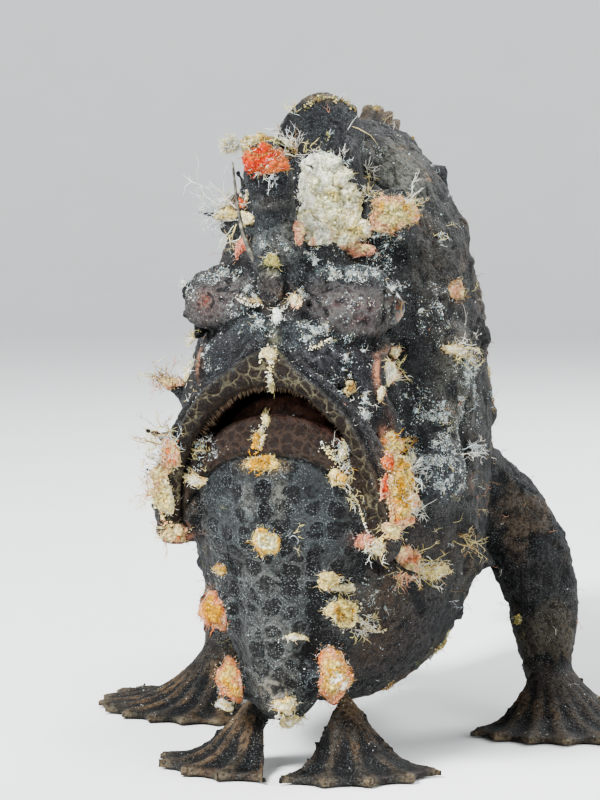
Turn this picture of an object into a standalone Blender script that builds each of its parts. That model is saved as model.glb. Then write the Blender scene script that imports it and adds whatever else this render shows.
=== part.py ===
"""A frogfish at life size, crouched on its paired fins, as a still display model.

Places are written as (x, s, z) in millimetres: x to the fish's left, s back from the upper lip, z up from
the floor. The function place turns them into the model's own frame, in metres: the fish faces -Y, and +Z is up.
"""

import math

import bmesh
import bpy
import numpy as np
from mathutils import Matrix, Vector

MM = 0.001

# Driving dimensions, in millimetres.
BODY_LENGTH = 88.0  # upper lip to the base of the tail fin
TAIL_FIN_LENGTH = 29.0
FRONT_TO_MIDDLE = 58.19  # s of the origin, under the middle of the whole model
SIDE_TO_MIDDLE = -0.62  # x of the origin
TAIL_SWAY = -14.0  # how far the tip of the tail swings to the fish's left; under 0, to its right
SWAY_FROM = 24.0
PART_GAP = 0.3  # between neighbouring parts
FLESH_MELT = (0.62, 9, 3300)  # cell of the grid the lumps run together in, rounds of softening, triangles
BAIT_MELT = (0.3, 3, 160)

# The trunk's outline: s, top, bottom and half width.
TRUNK_S = (3.0, 7.0, 12.0, 17.0, 21.0, 28.0, 38.0, 50.0, 62.0, 72.0, 80.0, 88.5)
TRUNK_TOP = (47.0, 51.5, 55.5, 59.5, 63.0, 67.0, 66.5, 61.5, 52.5, 43.5, 38.6, 37.6)
TRUNK_BOTTOM = (18.0, 11.0, 8.0, 6.2, 5.4, 4.8, 4.8, 6.6, 12.0, 18.6, 22.8, 23.8)
TRUNK_HALF = (6.0, 8.0, 10.6, 13.7, 15.2, 15.5, 14.1, 11.2, 8.0, 5.3, 3.7, 2.7)
TRUNK_RINGS = 44
RING_POINTS = 36
WIDEST_SHARE = 0.45  # height of the widest point, as a share of the ring's height
RING_POWER = 0.92  # under 1 fills the ring's corners

# The gape seen from the front: a horseshoe with the corners of the mouth low down.
GAPE_HALF = 9.9
GAPE_SPRING_Z = 27.0  # where the horseshoe's legs start to run down to the throat
GAPE_RISE = 13.2
MOUTH_OPEN = 3.1
JAW_DEPTH = 16.0
THROAT_SIDES = ((9.6, 17.0), (8.4, 9.0), (8.2, -5.0))  # half width and height, below the horseshoe

# The rolled upper lip, a tube that runs round outside the gape.
LIP_HALF = 11.3
LIP_RISE = 14.6
LIP_TURN = 104.0  # degrees from its peak to each end
LIP_FRONT = 0.9  # s of its peak
LIP_SWEEP = 3.4  # how far back its sides run
LIP_PEAK_RADIUS = 1.35
LIP_END_RADIUS = 2.0

EYE_RADIUS = 2.15
EYE = (9.4, 9.7, 47.6)

# The spurs of growth.
SPUR_RADIUS = 1.5
SPUR_TIP_RADIUS = 0.55
SPUR_MIDDLE_SHARE = 0.55  # of the sum of the two

# The fins: s, or the headings of their first and last rays in degrees from straight ahead.
FIN_ROOT_DEPTH = 2.5  # how deep the root of a fin on the back or belly starts in the body
DORSAL_SPAN = (33.0, 79.0)
DORSAL_HEIGHT_AT = (0.0, 0.35, 0.7, 1.0)
DORSAL_HEIGHT = (3.5, 7.0, 11.5, 8.5)
DORSAL_LEAN = (48.0, 42.0)
DORSAL_WAVE = 0.5
ANAL_SPAN = (61.0, 76.0)
ANAL_HEIGHT = 8.0
ANAL_BULGE = 2.0
ANAL_LEAN = (38.0, 30.0)
TAIL_HALF_SPREAD = 26.04
TAIL_ROOT_Z = 30.7
TAIL_ROOT_HALF = 5.6
TAIL_ROOT_DEPTH = 1.5
TAIL_ROUNDING = 0.2  # how much shorter its outer rays are, as a share
WRIST = (18.8, 45.6, 5.2)
HAND_HEADINGS = (-28.0, 114.0)
HAND_PALM = 1.2
HAND_LENGTH = 13.0
HAND_BULGE = 1.6
HAND_LANDS_AT = 0.7  # share of its rays at which it meets the floor
HAND_DROP = 6.6
PELVIC_ROOT = (4.2, 13.0)  # x and s
PELVIC_HEADINGS = (-18.0, 82.0)
PELVIC_LENGTH = 11.5
PELVIC_LANDS_AT = 0.75
PELVIC_DROP = 8.4
FIN_ON_FLOOR = 0.4  # height of the middle of a fin that lies on the floor; the floor then cuts its rays flat
FIN_ROOT_THICKNESS = 1.25  # of a fin at its root and its tips, as shares of its stated thickness
FIN_TIP_THICKNESS = 0.7
NEARBY = 1e-3  # step across a fin's sheet over which its slope is read
TIP_DOME = 0.45  # how far a tube's rounded end stands out, and how far it narrows, as shares of its radius
TIP_TAPER = 0.6

HEAD_END = 26.0  # where the head's solid gives way to the trunk's, before that cut is tipped back
HEAD_TILT = 8.0
HEAD_CUT_SPAN = 134.0  # lengths of the two blocks that make the cut, each tipped about its own middle
TRUNK_SPAN = 150.0
STALK_FROM = 71.0
BEFORE_FACE = -8.0  # s clear of the fish in front, and clear of it behind
PAST_TAIL = 200.0
SLAB_WIDTH = 90.0
SLAB_HEIGHT = 140.0
SLAB_MIDDLE_Z = 36.0
FLOOR_SIZE = (200.0, 300.0, 20.0)
SHARP_ANGLE = 50.0
SIDE_NAMES = {1: "left", -1: "right"}


def sway(s):
    return TAIL_SWAY * max(0.0, (s - SWAY_FROM) / (BODY_LENGTH + TAIL_FIN_LENGTH - SWAY_FROM)) ** 2


def place(x, s, z):
    """The model's own coordinates of a place on the fish."""
    return Vector((x + sway(s) - SIDE_TO_MIDDLE, s - FRONT_TO_MIDDLE, z)) * MM


def clear_scene():
    for obj in list(bpy.data.objects):
        bpy.data.objects.remove(obj, do_unlink=True)


def material(name, colour, roughness, metallic=0.0):
    made = bpy.data.materials.new(name)
    made.use_nodes = True
    shader = made.node_tree.nodes["Principled BSDF"]
    shader.inputs["Base Color"].default_value = (*colour, 1.0)
    shader.inputs["Roughness"].default_value = roughness
    shader.inputs["Metallic"].default_value = metallic
    made.diffuse_color = (*colour, 1.0)
    return made


def linked(name, mesh):
    obj = bpy.data.objects.new(name, mesh)
    bpy.context.scene.collection.objects.link(obj)
    return obj


def object_from(name, bm):
    mesh = bpy.data.meshes.new(name)
    bm.to_mesh(mesh)
    bm.free()
    return linked(name, mesh)


def curve_value(stations, values, at):
    """A smooth curve through the values at the stations, read at one place."""
    slopes = np.gradient(np.array(values), np.array(stations))
    i = int(np.clip(np.searchsorted(stations, at) - 1, 0, len(stations) - 2))
    span = stations[i + 1] - stations[i]
    t = (at - stations[i]) / span
    start = (1 + 2 * t) * (1 - t) ** 2 * values[i] + t * (1 - t) ** 2 * span * slopes[i]
    end = t * t * (3 - 2 * t) * values[i + 1] + t * t * (t - 1) * span * slopes[i + 1]
    return float(start + end)


def between(ends, share):
    """The value at a share of the way from the first end to the second."""
    return ends[0] + (ends[1] - ends[0]) * share


def skinned_rings(rings):
    """A closed bmesh over rings of places, with both ends capped."""
    bm = bmesh.new()
    loops = [[bm.verts.new(point) for point in ring] for ring in rings]
    count = len(rings[0])
    for near, far in zip(loops, loops[1:]):
        for k in range(count):
            after = (k + 1) % count
            bm.faces.new((near[k], far[k], far[after], near[after]))
    bm.faces.new(loops[0])
    bm.faces.new(reversed(loops[-1]))
    bmesh.ops.recalc_face_normals(bm, faces=bm.faces)
    return bm


def trunk_shape():
    rings = []
    for s in np.linspace(TRUNK_S[0], TRUNK_S[-1], TRUNK_RINGS):
        top, bottom, half = (curve_value(TRUNK_S, row, s) for row in (TRUNK_TOP, TRUNK_BOTTOM, TRUNK_HALF))
        middle = bottom + WIDEST_SHARE * (top - bottom)
        ring = []
        for k in range(RING_POINTS):
            across, up = math.cos(2 * math.pi * k / RING_POINTS), math.sin(2 * math.pi * k / RING_POINTS)
            reach = top - middle if up > 0 else middle - bottom
            x = half * math.copysign(abs(across) ** RING_POWER, across)
            ring.append(place(x, s, middle + reach * math.copysign(abs(up) ** RING_POWER, up)))
        rings.append(ring)
    return object_from("trunk_shape", skinned_rings(rings))


def lump(centre, radii, lean=0.0):
    """An egg of flesh. A lean above 0 tips its top back, in degrees."""
    bm = bmesh.new()
    bmesh.ops.create_icosphere(bm, subdivisions=4, radius=1.0)
    size = Matrix.Diagonal((*(radius * MM for radius in radii), 1.0))
    turn = Matrix.Rotation(math.radians(-lean), 4, "X")
    bm.transform(Matrix.Translation(place(*centre)) @ turn @ size)
    return object_from("lump", bm)


def pair(centre, radii, lean=0.0):
    x, s, z = centre
    return [lump((side * x, s, z), radii, lean) for side in (1, -1)]


def tube(name, path, radii, sides=12):
    """A closed tube along a path of places, with a radius in millimetres at each."""
    points = [place(*p) for p in path]
    rings = []
    for i, point in enumerate(points):
        along = (points[min(i + 1, len(points) - 1)] - points[max(i - 1, 0)]).normalized()
        across = along.orthogonal() if i == 0 else across - across.dot(along) * along
        across.normalize()
        other = along.cross(across)
        turns = [2 * math.pi * k / sides for k in range(sides)]
        rings.append([point + (across * math.cos(a) + other * math.sin(a)) * radii[i] * MM for a in turns])
    dome = along * radii[-1] * MM * TIP_DOME
    rings.append([points[-1] + dome + (point - points[-1]) * TIP_TAPER for point in rings[-1]])
    return object_from(name, skinned_rings(rings))


def bent_path(stops, count):
    """Places on a smooth curve through the stops."""
    steps = list(range(len(stops)))
    return [
        tuple(curve_value(steps, [stop[axis] for stop in stops], at) for axis in range(3))
        for at in np.linspace(0, len(stops) - 1, count)
    ]


def bent_tube(name, stops, radii, count, sides=12):
    steps = list(range(len(radii)))
    sizes = [curve_value(steps, radii, at) for at in np.linspace(0, len(radii) - 1, count)]
    return tube(name, bent_path(stops, count), sizes, sides)


def upper_lip():
    """The rolled edge of the upper jaw, from one corner of the mouth over to the other."""
    half_turn = math.radians(LIP_TURN)
    turns = np.linspace(-half_turn, half_turn, 25)
    path = []
    for a in turns:
        s = LIP_FRONT + LIP_SWEEP * (1 - math.cos(a))
        path.append((LIP_HALF * math.sin(a), s, GAPE_SPRING_Z + LIP_RISE * math.cos(a)))
    swelling = LIP_END_RADIUS - LIP_PEAK_RADIUS
    return tube("lip", path, [LIP_PEAK_RADIUS + swelling * abs(a) / half_turn for a in turns])


def head_lumps():
    """The masses that make the face, each an egg melted into its neighbours."""
    shapes = [
        lump((0, 6.6, 28.5), (9.4, 6.9, 9.4)),  # chin
        lump((-0.5, 7.6, 19.5), (6.0, 5.6, 9.6), -8),  # lower chin
        lump((-0.8, 9.6, 11.0), (4.2, 5.8, 6.2), -20),  # throat keel
        lump((0, 8.4, 47.0), (8.8, 6.2, 5.4)),  # brow
        lump((0, 7.2, 42.4), (9.0, 5.9, 4.8)),  # snout
        lump((0, 9.6, 52.0), (5.6, 5.4, 3.6)),  # crown, under the second spine
        lump((-5.0, 12.0, 56.0), (2.1, 2.6, 4.0), 10),  # flap of skin on the right of the crown
        upper_lip(),
    ]
    shapes += pair((6.95, 9.3, 47.9), (4.55, 4.9, 4.2))  # orbits
    shapes += pair((7.6, 9.4, 36.8), (3.8, 5.6, 8.4), 6)  # cheeks
    shapes += pair((10.0, 6.6, 28.4), (2.2, 3.2, 5.4), 6)  # flaps at the corners of the mouth
    shapes += pair((7.4, 17.0, 56.2), (3.2, 4.0, 3.4))  # shoulders beside the third spine
    shapes += pair((11.8, 17.5, 30.5), (4.2, 4.6, 4.4))  # swellings over the gill covers
    return shapes


def warts():
    """The large warts of the throat and flanks."""
    shapes = [
        lump((0, -0.1, 24.5), (1.3, 1.0, 1.35)),
        lump((0.4, 4.2, 7.8), (1.4, 1.4, 1.5)),
        lump((0, 2.1, 50.6), (1.4, 1.2, 1.4)),
        lump((5.1, 3.2, 20.8), (1.3, 1.3, 1.3)),
        lump((6.2, 4.8, 17.3), (1.7, 1.7, 1.7)),
        lump((5.1, 6.6, 10.7), (2.3, 2.2, 2.3)),
        lump((-7.0, 5.6, 16.8), (1.5, 1.5, 1.9)),
        lump((-5.9, 6.8, 9.0), (1.7, 1.6, 2.3)),
    ]
    for centre, radius in (
        ((14.6, 30.0, 44.0), 1.8),
        ((10.6, 35.0, 55.5), 2.0),
        ((11.2, 50.0, 34.0), 1.8),
        ((8.0, 50.0, 52.5), 1.7),
        ((14.2, 28.0, 20.0), 1.8),
    ):
        shapes += pair(centre, (radius, radius, radius))
    return shapes


def spur(root, tip):
    """A stiff tuft of growth that stands out from the skin."""
    middle = tuple((a + b) / 2 for a, b in zip(root, tip))
    middle_radius = (SPUR_RADIUS + SPUR_TIP_RADIUS) * SPUR_MIDDLE_SHARE
    return tube("spur", [root, middle, tip], [SPUR_RADIUS, middle_radius, SPUR_TIP_RADIUS], 8)


def spurs():
    """The growths that break the outline: s is their root's, and each points out and a little up or down."""
    shapes = []
    for root, tip in (
        ((-6.2, 11.6, 56.6), (-11.2, 10.0, 57.2)),
        ((-10.0, 8.6, 38.2), (-15.2, 9.0, 40.5)),
        ((-11.0, 7.6, 33.4), (-15.8, 8.6, 34.9)),
        ((-11.2, 8.4, 30.0), (-16.6, 9.6, 30.9)),
        ((-11.2, 6.2, 26.6), (-15.0, 6.0, 27.8)),
        ((11.0, 5.8, 30.0), (14.0, 4.8, 31.6)),
        ((9.6, 5.8, 25.4), (10.8, 4.4, 21.8)),
        ((9.6, 8.8, 21.6), (14.2, 9.6, 20.6)),
        ((12.6, 21.0, 43.2), (16.6, 20.6, 44.6)),
        ((14.0, 24.0, 32.6), (17.6, 23.4, 33.4)),
        ((13.6, 24.0, 25.0), (16.6, 23.0, 23.2)),
        ((7.8, 17.6, 57.6), (10.2, 15.6, 60.2)),
        ((-7.4, 20.0, 58.0), (-9.6, 19.0, 62.0)),
        ((6.0, 44.0, 60.4), (8.0, 45.0, 62.4)),
        ((-6.6, 46.0, 57.6), (-9.8, 47.0, 61.6)),
        ((12.2, 38.0, 20.0), (15.6, 39.0, 17.4)),
        ((-12.6, 34.0, 22.0), (-16.2, 34.6, 19.4)),
    ):
        shapes.append(spur(root, tip))
    return shapes


def applied(obj):
    """Puts the result of the object's modifiers into its mesh."""
    graph = bpy.context.evaluated_depsgraph_get()
    mesh = bpy.data.meshes.new_from_object(obj.evaluated_get(graph))
    obj.modifiers.clear()
    obj.data = mesh
    return obj


def joined(name, shapes):
    bm = bmesh.new()
    for shape in shapes:
        bm.from_mesh(shape.data)
        bpy.data.objects.remove(shape, do_unlink=True)
    return object_from(name, bm)


def melted(name, shapes, cell, rounds, faces):
    """The shapes run together in a grid of that cell, softened, and thinned to about that many triangles."""
    obj = joined(name, shapes)
    remesh = obj.modifiers.new("melt", "REMESH")
    remesh.mode = "VOXEL"
    remesh.voxel_size = cell * MM
    smooth = obj.modifiers.new("soften", "SMOOTH")
    smooth.factor = 0.5
    smooth.iterations = rounds
    applied(obj)
    thin = obj.modifiers.new("thin", "DECIMATE")
    thin.ratio = faces / (2 * len(obj.data.polygons))
    return applied(obj)


def combined(obj, other, operation):
    modifier = obj.modifiers.new("cut", "BOOLEAN")
    modifier.operation = operation
    modifier.solver = "EXACT"
    modifier.object = other
    return applied(obj)


def copy_of(obj, name):
    return linked(name, obj.data.copy())


def swollen(obj, by):
    """A copy that stands out from the object by that many millimetres all round."""
    made = copy_of(obj, "swollen")
    swell = made.modifiers.new("swell", "DISPLACE")
    swell.mid_level = 0.0
    swell.strength = by * MM
    return applied(made)


def gape_outline(inset, top_drop):
    """The horseshoe of the gape and the sides of the throat below it, as (x, z), from leg to leg."""
    outline = []
    for a in np.linspace(-math.pi / 2, math.pi / 2, 17):
        z = GAPE_SPRING_Z + (GAPE_RISE - top_drop) * math.cos(a)
        outline.append(((GAPE_HALF - inset) * math.sin(a), z))
    for half, z in THROAT_SIDES:
        outline.append((half - inset, z))
        outline.insert(0, (inset - half, z))
    return outline


def gape_block(name, inset, top_drop, depth):
    """The outline of the gape run back into the head, as a solid to cut with."""
    front, back = (
        [place(x, s, z) for x, z in gape_outline(inset, top_drop)] for s in (BEFORE_FACE, depth)
    )
    return object_from(name, skinned_rings([front, back]))


def slab(name, s_from, s_to, tilt):
    """A block across the fish between two places along it, tipped back about its middle by tilt degrees."""
    bm = bmesh.new()
    bmesh.ops.create_cube(bm, size=1.0)
    size = Matrix.Diagonal((SLAB_WIDTH * MM, (s_to - s_from) * MM, SLAB_HEIGHT * MM, 1.0))
    at = Vector((0, ((s_from + s_to) / 2 - FRONT_TO_MIDDLE) * MM, SLAB_MIDDLE_Z * MM))
    bm.transform(Matrix.Translation(at) @ Matrix.Rotation(math.radians(-tilt), 4, "X") @ size)
    return object_from(name, bm)


def discard(*objs):
    for obj in objs:
        bpy.data.objects.remove(obj, do_unlink=True)


def part_flesh(flesh):
    """The body whole, cut into lower jaw, head, trunk and tail stalk with thin gaps between."""
    sockets = joined("sockets", [eyeball("socket", side, EYE_RADIUS + PART_GAP) for side in (1, -1)])
    combined(flesh, sockets, "DIFFERENCE")
    discard(sockets)

    jaw = copy_of(flesh, "lower_jaw")
    jaw_block = gape_block("jaw_block", PART_GAP, MOUTH_OPEN, JAW_DEPTH)
    combined(jaw, jaw_block, "INTERSECT")

    head = copy_of(flesh, "head")
    mouth_block = gape_block("mouth_block", 0.0, 0.0, JAW_DEPTH + PART_GAP)
    combined(head, mouth_block, "DIFFERENCE")
    behind_head = slab("behind_head", HEAD_END, HEAD_END + HEAD_CUT_SPAN, HEAD_TILT)
    combined(head, behind_head, "DIFFERENCE")

    trunk = copy_of(flesh, "trunk")
    trunk_span = slab("trunk_span", HEAD_END + PART_GAP, HEAD_END + PART_GAP + TRUNK_SPAN, HEAD_TILT)
    combined(trunk, trunk_span, "INTERSECT")
    past_trunk = slab("past_trunk", STALK_FROM, PAST_TAIL, 0.0)
    combined(trunk, past_trunk, "DIFFERENCE")

    stalk = copy_of(flesh, "tail_stalk")
    stalk_span = slab("stalk_span", STALK_FROM + PART_GAP, PAST_TAIL, 0.0)
    combined(stalk, stalk_span, "INTERSECT")

    discard(jaw_block, mouth_block, behind_head, trunk_span, past_trunk, stalk_span)
    return [jaw, head, trunk, stalk]


def fan(name, surface, rays, columns_between, rows, ray_thickness, web_thickness, scallop):
    """A webbed fin. surface(u, v) is the middle of its sheet: u runs across the rays, v from root to tip.

    Each ray is a thick column, the web between two rays is thinner and ends short of the rays' tips.
    """
    columns = (rays - 1) * (columns_between + 1) + 1
    near, far = [], []
    for i in range(columns):
        u = i / (columns - 1)
        on_ray = 0.5 + 0.5 * math.cos(2 * math.pi * u * (rays - 1))
        near_row, far_row = [], []
        for j in range(rows):
            v = j / (rows - 1) * (1 - scallop * (1 - on_ray))
            middle = place(*surface(u, v))
            across = place(*surface(u + NEARBY, v)) - place(*surface(u - NEARBY, v))
            along = place(*surface(u, v + NEARBY)) - place(*surface(u, v - NEARBY))
            normal = across.cross(along).normalized()
            thick = web_thickness + (ray_thickness - web_thickness) * on_ray
            thick *= between((FIN_ROOT_THICKNESS, FIN_TIP_THICKNESS), v)
            offset = normal * thick * MM / 2
            near_row.append(middle + offset)
            far_row.append(middle - offset)
        near.append(near_row)
        far.append(far_row)
    bm = bmesh.new()
    fronts = [[bm.verts.new(p) for p in row] for row in near]
    backs = [[bm.verts.new(p) for p in row] for row in far]
    for sheet in (fronts, backs):
        for i in range(columns - 1):
            for j in range(rows - 1):
                bm.faces.new((sheet[i][j], sheet[i + 1][j], sheet[i + 1][j + 1], sheet[i][j + 1]))
    for j in range(rows - 1):
        for i in (0, columns - 1):
            bm.faces.new((fronts[i][j], fronts[i][j + 1], backs[i][j + 1], backs[i][j]))
    for i in range(columns - 1):
        for j in (0, rows - 1):
            bm.faces.new((fronts[i][j], fronts[i + 1][j], backs[i + 1][j], backs[i][j]))
    bmesh.ops.recalc_face_normals(bm, faces=bm.faces)
    return object_from(name, bm)


def dorsal_surface(u, v):
    s = between(DORSAL_SPAN, u)
    root = curve_value(TRUNK_S, TRUNK_TOP, s) - FIN_ROOT_DEPTH
    length = v * (FIN_ROOT_DEPTH + curve_value(DORSAL_HEIGHT_AT, DORSAL_HEIGHT, min(max(u, 0), 1)))
    lean = math.radians(between(DORSAL_LEAN, u))
    x = DORSAL_WAVE * math.sin(3 * math.pi * u) * v
    return (x, s + length * math.sin(lean), root + length * math.cos(lean))


def anal_surface(u, v):
    s = between(ANAL_SPAN, u)
    root = curve_value(TRUNK_S, TRUNK_BOTTOM, s) + FIN_ROOT_DEPTH
    length = v * (FIN_ROOT_DEPTH + ANAL_HEIGHT + ANAL_BULGE * math.sin(math.pi * u))
    lean = math.radians(between(ANAL_LEAN, u))
    return (0.0, s + length * math.sin(lean), root - length * math.cos(lean))


def tail_surface(u, v):
    off_middle = 2 * u - 1
    spread = math.radians(TAIL_HALF_SPREAD * off_middle)
    length = v * (TAIL_FIN_LENGTH + TAIL_ROOT_DEPTH) * (1 - TAIL_ROUNDING * off_middle**2)
    root_z = TAIL_ROOT_Z + TAIL_ROOT_HALF * off_middle
    s = BODY_LENGTH - TAIL_ROOT_DEPTH + length * math.cos(spread)
    return (0.0, s, root_z + length * math.sin(spread))


def falling(v, lands_at, height):
    """The height of a hand-like fin, which meets the floor at the share lands_at and then lies flat."""
    return FIN_ON_FLOOR + height * (1 - min(v / lands_at, 1.0)) ** 2


def hand_surface(side):
    """A pectoral fin spread on the floor like a hand, its rays running out and forward from the wrist."""

    def surface(u, v):
        heading = math.radians(between(HAND_HEADINGS, u))
        reach = HAND_PALM + v * (HAND_LENGTH + HAND_BULGE * math.sin(math.pi * u))
        x = WRIST[0] + reach * math.sin(heading)
        s = WRIST[1] - reach * math.cos(heading)
        return (side * x, s, falling(v, HAND_LANDS_AT, HAND_DROP))

    return surface


def pelvic_surface(side):
    """A pelvic fin, a short five-rayed hand beside the throat."""

    def surface(u, v):
        heading = math.radians(between(PELVIC_HEADINGS, u))
        reach = v * PELVIC_LENGTH
        x = PELVIC_ROOT[0] + reach * math.sin(heading)
        s = PELVIC_ROOT[1] - reach * math.cos(heading)
        return (side * x, s, falling(v, PELVIC_LANDS_AT, PELVIC_DROP))

    return surface


def second_spine():
    """A stout club over the snout, flared where it joins the crown."""
    stops = ((0, 7.0, 48.5), (0, 5.0, 53.0), (0, 3.4, 57.5), (-0.2, 1.7, 61.3), (-0.3, 1.1, 63.4))
    return bent_tube("second_dorsal_spine", stops, (4.6, 2.9, 2.1, 2.6, 1.7), 11, 10)


def third_spine():
    """The massive third spine, curving back over the nape."""
    stops = ((0.4, 16.5, 50.0), (0.4, 15.6, 56.0), (0.3, 16.8, 61.5), (0.2, 19.6, 65.8), (0.1, 22.0, 67.4))
    return bent_tube("third_dorsal_spine", stops, (6.0, 5.2, 4.9, 4.4, 2.6), 11, 10)


def lure_rod():
    """The first spine, a thin rod from the snout, laid up beside the second."""
    stops = ((-1.2, 3.6, 50.4), (-3.0, 3.8, 54.0), (-4.2, 4.4, 58.0), (-4.5, 3.8, 62.2))
    return bent_tube("lure_rod", stops, (0.75, 0.45, 0.35, 0.33), 14, 8)


def lure_bait():
    """The bait on the rod's tip: a small tuft like a worm's ball."""
    return [
        lump((-4.6, 3.6, 63.2), (1.3, 1.2, 1.2)),
        lump((-5.4, 3.2, 64.4), (1.0, 0.9, 1.1)),
        lump((-4.0, 3.2, 64.6), (0.9, 0.9, 1.2)),
    ]


def arm(side):
    stops = ((9.5, 46.5, 25.5), (14.2, 48.2, 22.0), (17.6, 48.6, 15.5), (18.6, 46.8, 8.8), WRIST)
    mirrored = [(side * x, s, z) for x, s, z in stops]
    return bent_tube(f"pectoral_arm_{SIDE_NAMES[side]}", mirrored, (6.2, 5.3, 4.5, 3.6, 2.8), 10, 10)


def eyeball(name, side, radius):
    bm = bmesh.new()
    bmesh.ops.create_icosphere(bm, subdivisions=3, radius=radius * MM)
    x, s, z = EYE
    bm.transform(Matrix.Translation(place(side * x, s, z)))
    return object_from(name, bm)


def floor_block():
    """All that is below the floor, for about the fish's room."""
    bm = bmesh.new()
    bmesh.ops.create_cube(bm, size=1.0)
    size = Matrix.Diagonal((*(side * MM for side in FLOOR_SIZE), 1.0))
    bm.transform(Matrix.Translation((0, 0, -FLOOR_SIZE[2] / 2 * MM)) @ size)
    return object_from("floor_block", bm)


def finish(obj, look):
    obj.data.materials.clear()
    obj.data.materials.append(look)
    obj.data.shade_smooth()
    obj.data.set_sharp_from_angle(angle=math.radians(SHARP_ANGLE))


def build():
    clear_scene()
    skin = material("charcoal_skin", (0.045, 0.045, 0.048), 0.75)
    fin_skin = material("fin_skin", (0.06, 0.055, 0.05), 0.7)
    crust = material("pale_crust", (0.55, 0.52, 0.42), 0.9)
    iris = material("iris", (0.16, 0.09, 0.04), 0.15)

    flesh = melted("flesh", [trunk_shape(), *head_lumps(), *warts(), *spurs()], *FLESH_MELT)
    clearance = swollen(flesh, PART_GAP)
    floor = floor_block()

    for obj in part_flesh(flesh):
        finish(obj, skin)

    spine_two, spine_three = second_spine(), third_spine()
    for spine in (spine_two, spine_three):
        combined(spine, clearance, "DIFFERENCE")
    rod = lure_rod()
    spine_clearance = swollen(spine_two, PART_GAP)
    for cutter in (clearance, spine_clearance):
        combined(rod, cutter, "DIFFERENCE")
    rod_clearance = swollen(rod, PART_GAP)
    bait = melted("lure_bait", lure_bait(), *BAIT_MELT)
    for cutter in (rod_clearance, spine_clearance):
        combined(bait, cutter, "DIFFERENCE")
    for obj in (spine_two, spine_three, rod):
        finish(obj, skin)
    finish(bait, crust)
    discard(spine_clearance, rod_clearance)

    for name, surface, rays, rows, thick in (
        ("dorsal_fin", dorsal_surface, 13, 3, 2.0),
        ("anal_fin", anal_surface, 7, 3, 1.9),
        ("tail_fin", tail_surface, 9, 6, 2.0),
    ):
        fin = fan(name, surface, rays, 1, rows, ray_thickness=thick, web_thickness=1.1, scallop=0.10)
        combined(fin, clearance, "DIFFERENCE")
        finish(fin, fin_skin)

    for side in (1, -1):
        limb = arm(side)
        combined(limb, clearance, "DIFFERENCE")
        limb_clearance = swollen(limb, PART_GAP)
        name = f"pectoral_fin_{SIDE_NAMES[side]}"
        hand = fan(name, hand_surface(side), 10, 1, 5, ray_thickness=2.2, web_thickness=1.2, scallop=0.13)
        for cutter in (limb_clearance, clearance, floor):
            combined(hand, cutter, "DIFFERENCE")
        discard(limb_clearance)
        name = f"pelvic_fin_{SIDE_NAMES[side]}"
        pelvic = fan(name, pelvic_surface(side), 5, 2, 5, ray_thickness=2.4, web_thickness=1.3, scallop=0.16)
        for cutter in (clearance, floor):
            combined(pelvic, cutter, "DIFFERENCE")
        finish(limb, skin)
        finish(hand, fin_skin)
        finish(pelvic, fin_skin)
        finish(eyeball(f"eye_{SIDE_NAMES[side]}", side, EYE_RADIUS), iris)

    discard(flesh, clearance, floor)


build()
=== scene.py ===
"""Looks of the frogfish: one skin, glass eyes, lure, teeth and growth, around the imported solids.

Places on the fish are (x, s, z) in millimetres: x to its left, s back from the upper lip, z up.
Places in the front view are (across, down) in a frame of 600 x 800, and are carried onto the skin along it.
"""

import math
from itertools import product

import bmesh
import bpy
import numpy as np
from bpy.props import FloatProperty, FloatVectorProperty, IntProperty, PointerProperty
from bpy.types import Operator, Panel, PropertyGroup
from mathutils import Matrix, Vector
from mathutils.bvhtree import BVHTree
from mathutils.kdtree import KDTree


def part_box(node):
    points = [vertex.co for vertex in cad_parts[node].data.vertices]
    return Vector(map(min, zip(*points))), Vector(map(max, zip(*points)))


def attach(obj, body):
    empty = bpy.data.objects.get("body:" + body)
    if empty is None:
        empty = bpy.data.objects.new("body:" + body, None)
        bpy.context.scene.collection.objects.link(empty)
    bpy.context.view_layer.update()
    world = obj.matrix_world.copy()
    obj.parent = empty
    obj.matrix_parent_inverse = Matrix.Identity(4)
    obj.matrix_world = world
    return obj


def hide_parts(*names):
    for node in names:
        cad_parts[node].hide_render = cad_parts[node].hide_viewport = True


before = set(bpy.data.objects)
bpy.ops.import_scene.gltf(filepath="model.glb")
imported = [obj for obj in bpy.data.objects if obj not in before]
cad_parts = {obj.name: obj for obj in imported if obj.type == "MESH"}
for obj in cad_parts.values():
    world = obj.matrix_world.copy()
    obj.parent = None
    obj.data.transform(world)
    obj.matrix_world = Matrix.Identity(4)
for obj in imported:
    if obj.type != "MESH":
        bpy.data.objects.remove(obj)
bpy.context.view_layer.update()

bl_info = {
    "name": "Frogfish model",
    "version": (1, 0, 0),
    "blender": (4, 5, 0),
    "location": "View3D > Sidebar > Frogfish",
    "description": "Builds the skin, eyes, lure and growth of a life-size frogfish",
    "category": "Object",
}

MM = 0.001
LOWEST = 0.02  # millimetres over the floor under which nothing goes

# The fish's own frame, as its solids are built.
FRONT_TO_MIDDLE = 58.19
SIDE_TO_MIDDLE = -0.62
BODY_LENGTH = 88.0
TAIL_FIN_LENGTH = 29.0
TAIL_SWAY = -14.0
SWAY_FROM = 24.0
GAPE_HALF = 9.9
GAPE_SPRING_Z = 27.0
GAPE_RISE = 13.2
EYE = (9.4, 9.7, 47.6)
EYE_RADIUS = 2.15

# The front view.
VIEW_WIDTH = 600
VIEW_HEIGHT = 800
SENSOR = 36.0
LENS = 135.0
VIEW_DISTANCE = 300.0
VIEW_AZIMUTH = 17.5
VIEW_ELEVATION = 4.0
VIEW_TARGET = (0.0, 5.0, 38.5)
VIEW_SHIFT = 2.04  # of the target, to the right in the view
VIEW_FOCAL = VIEW_HEIGHT * LENS / SENSOR

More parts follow.
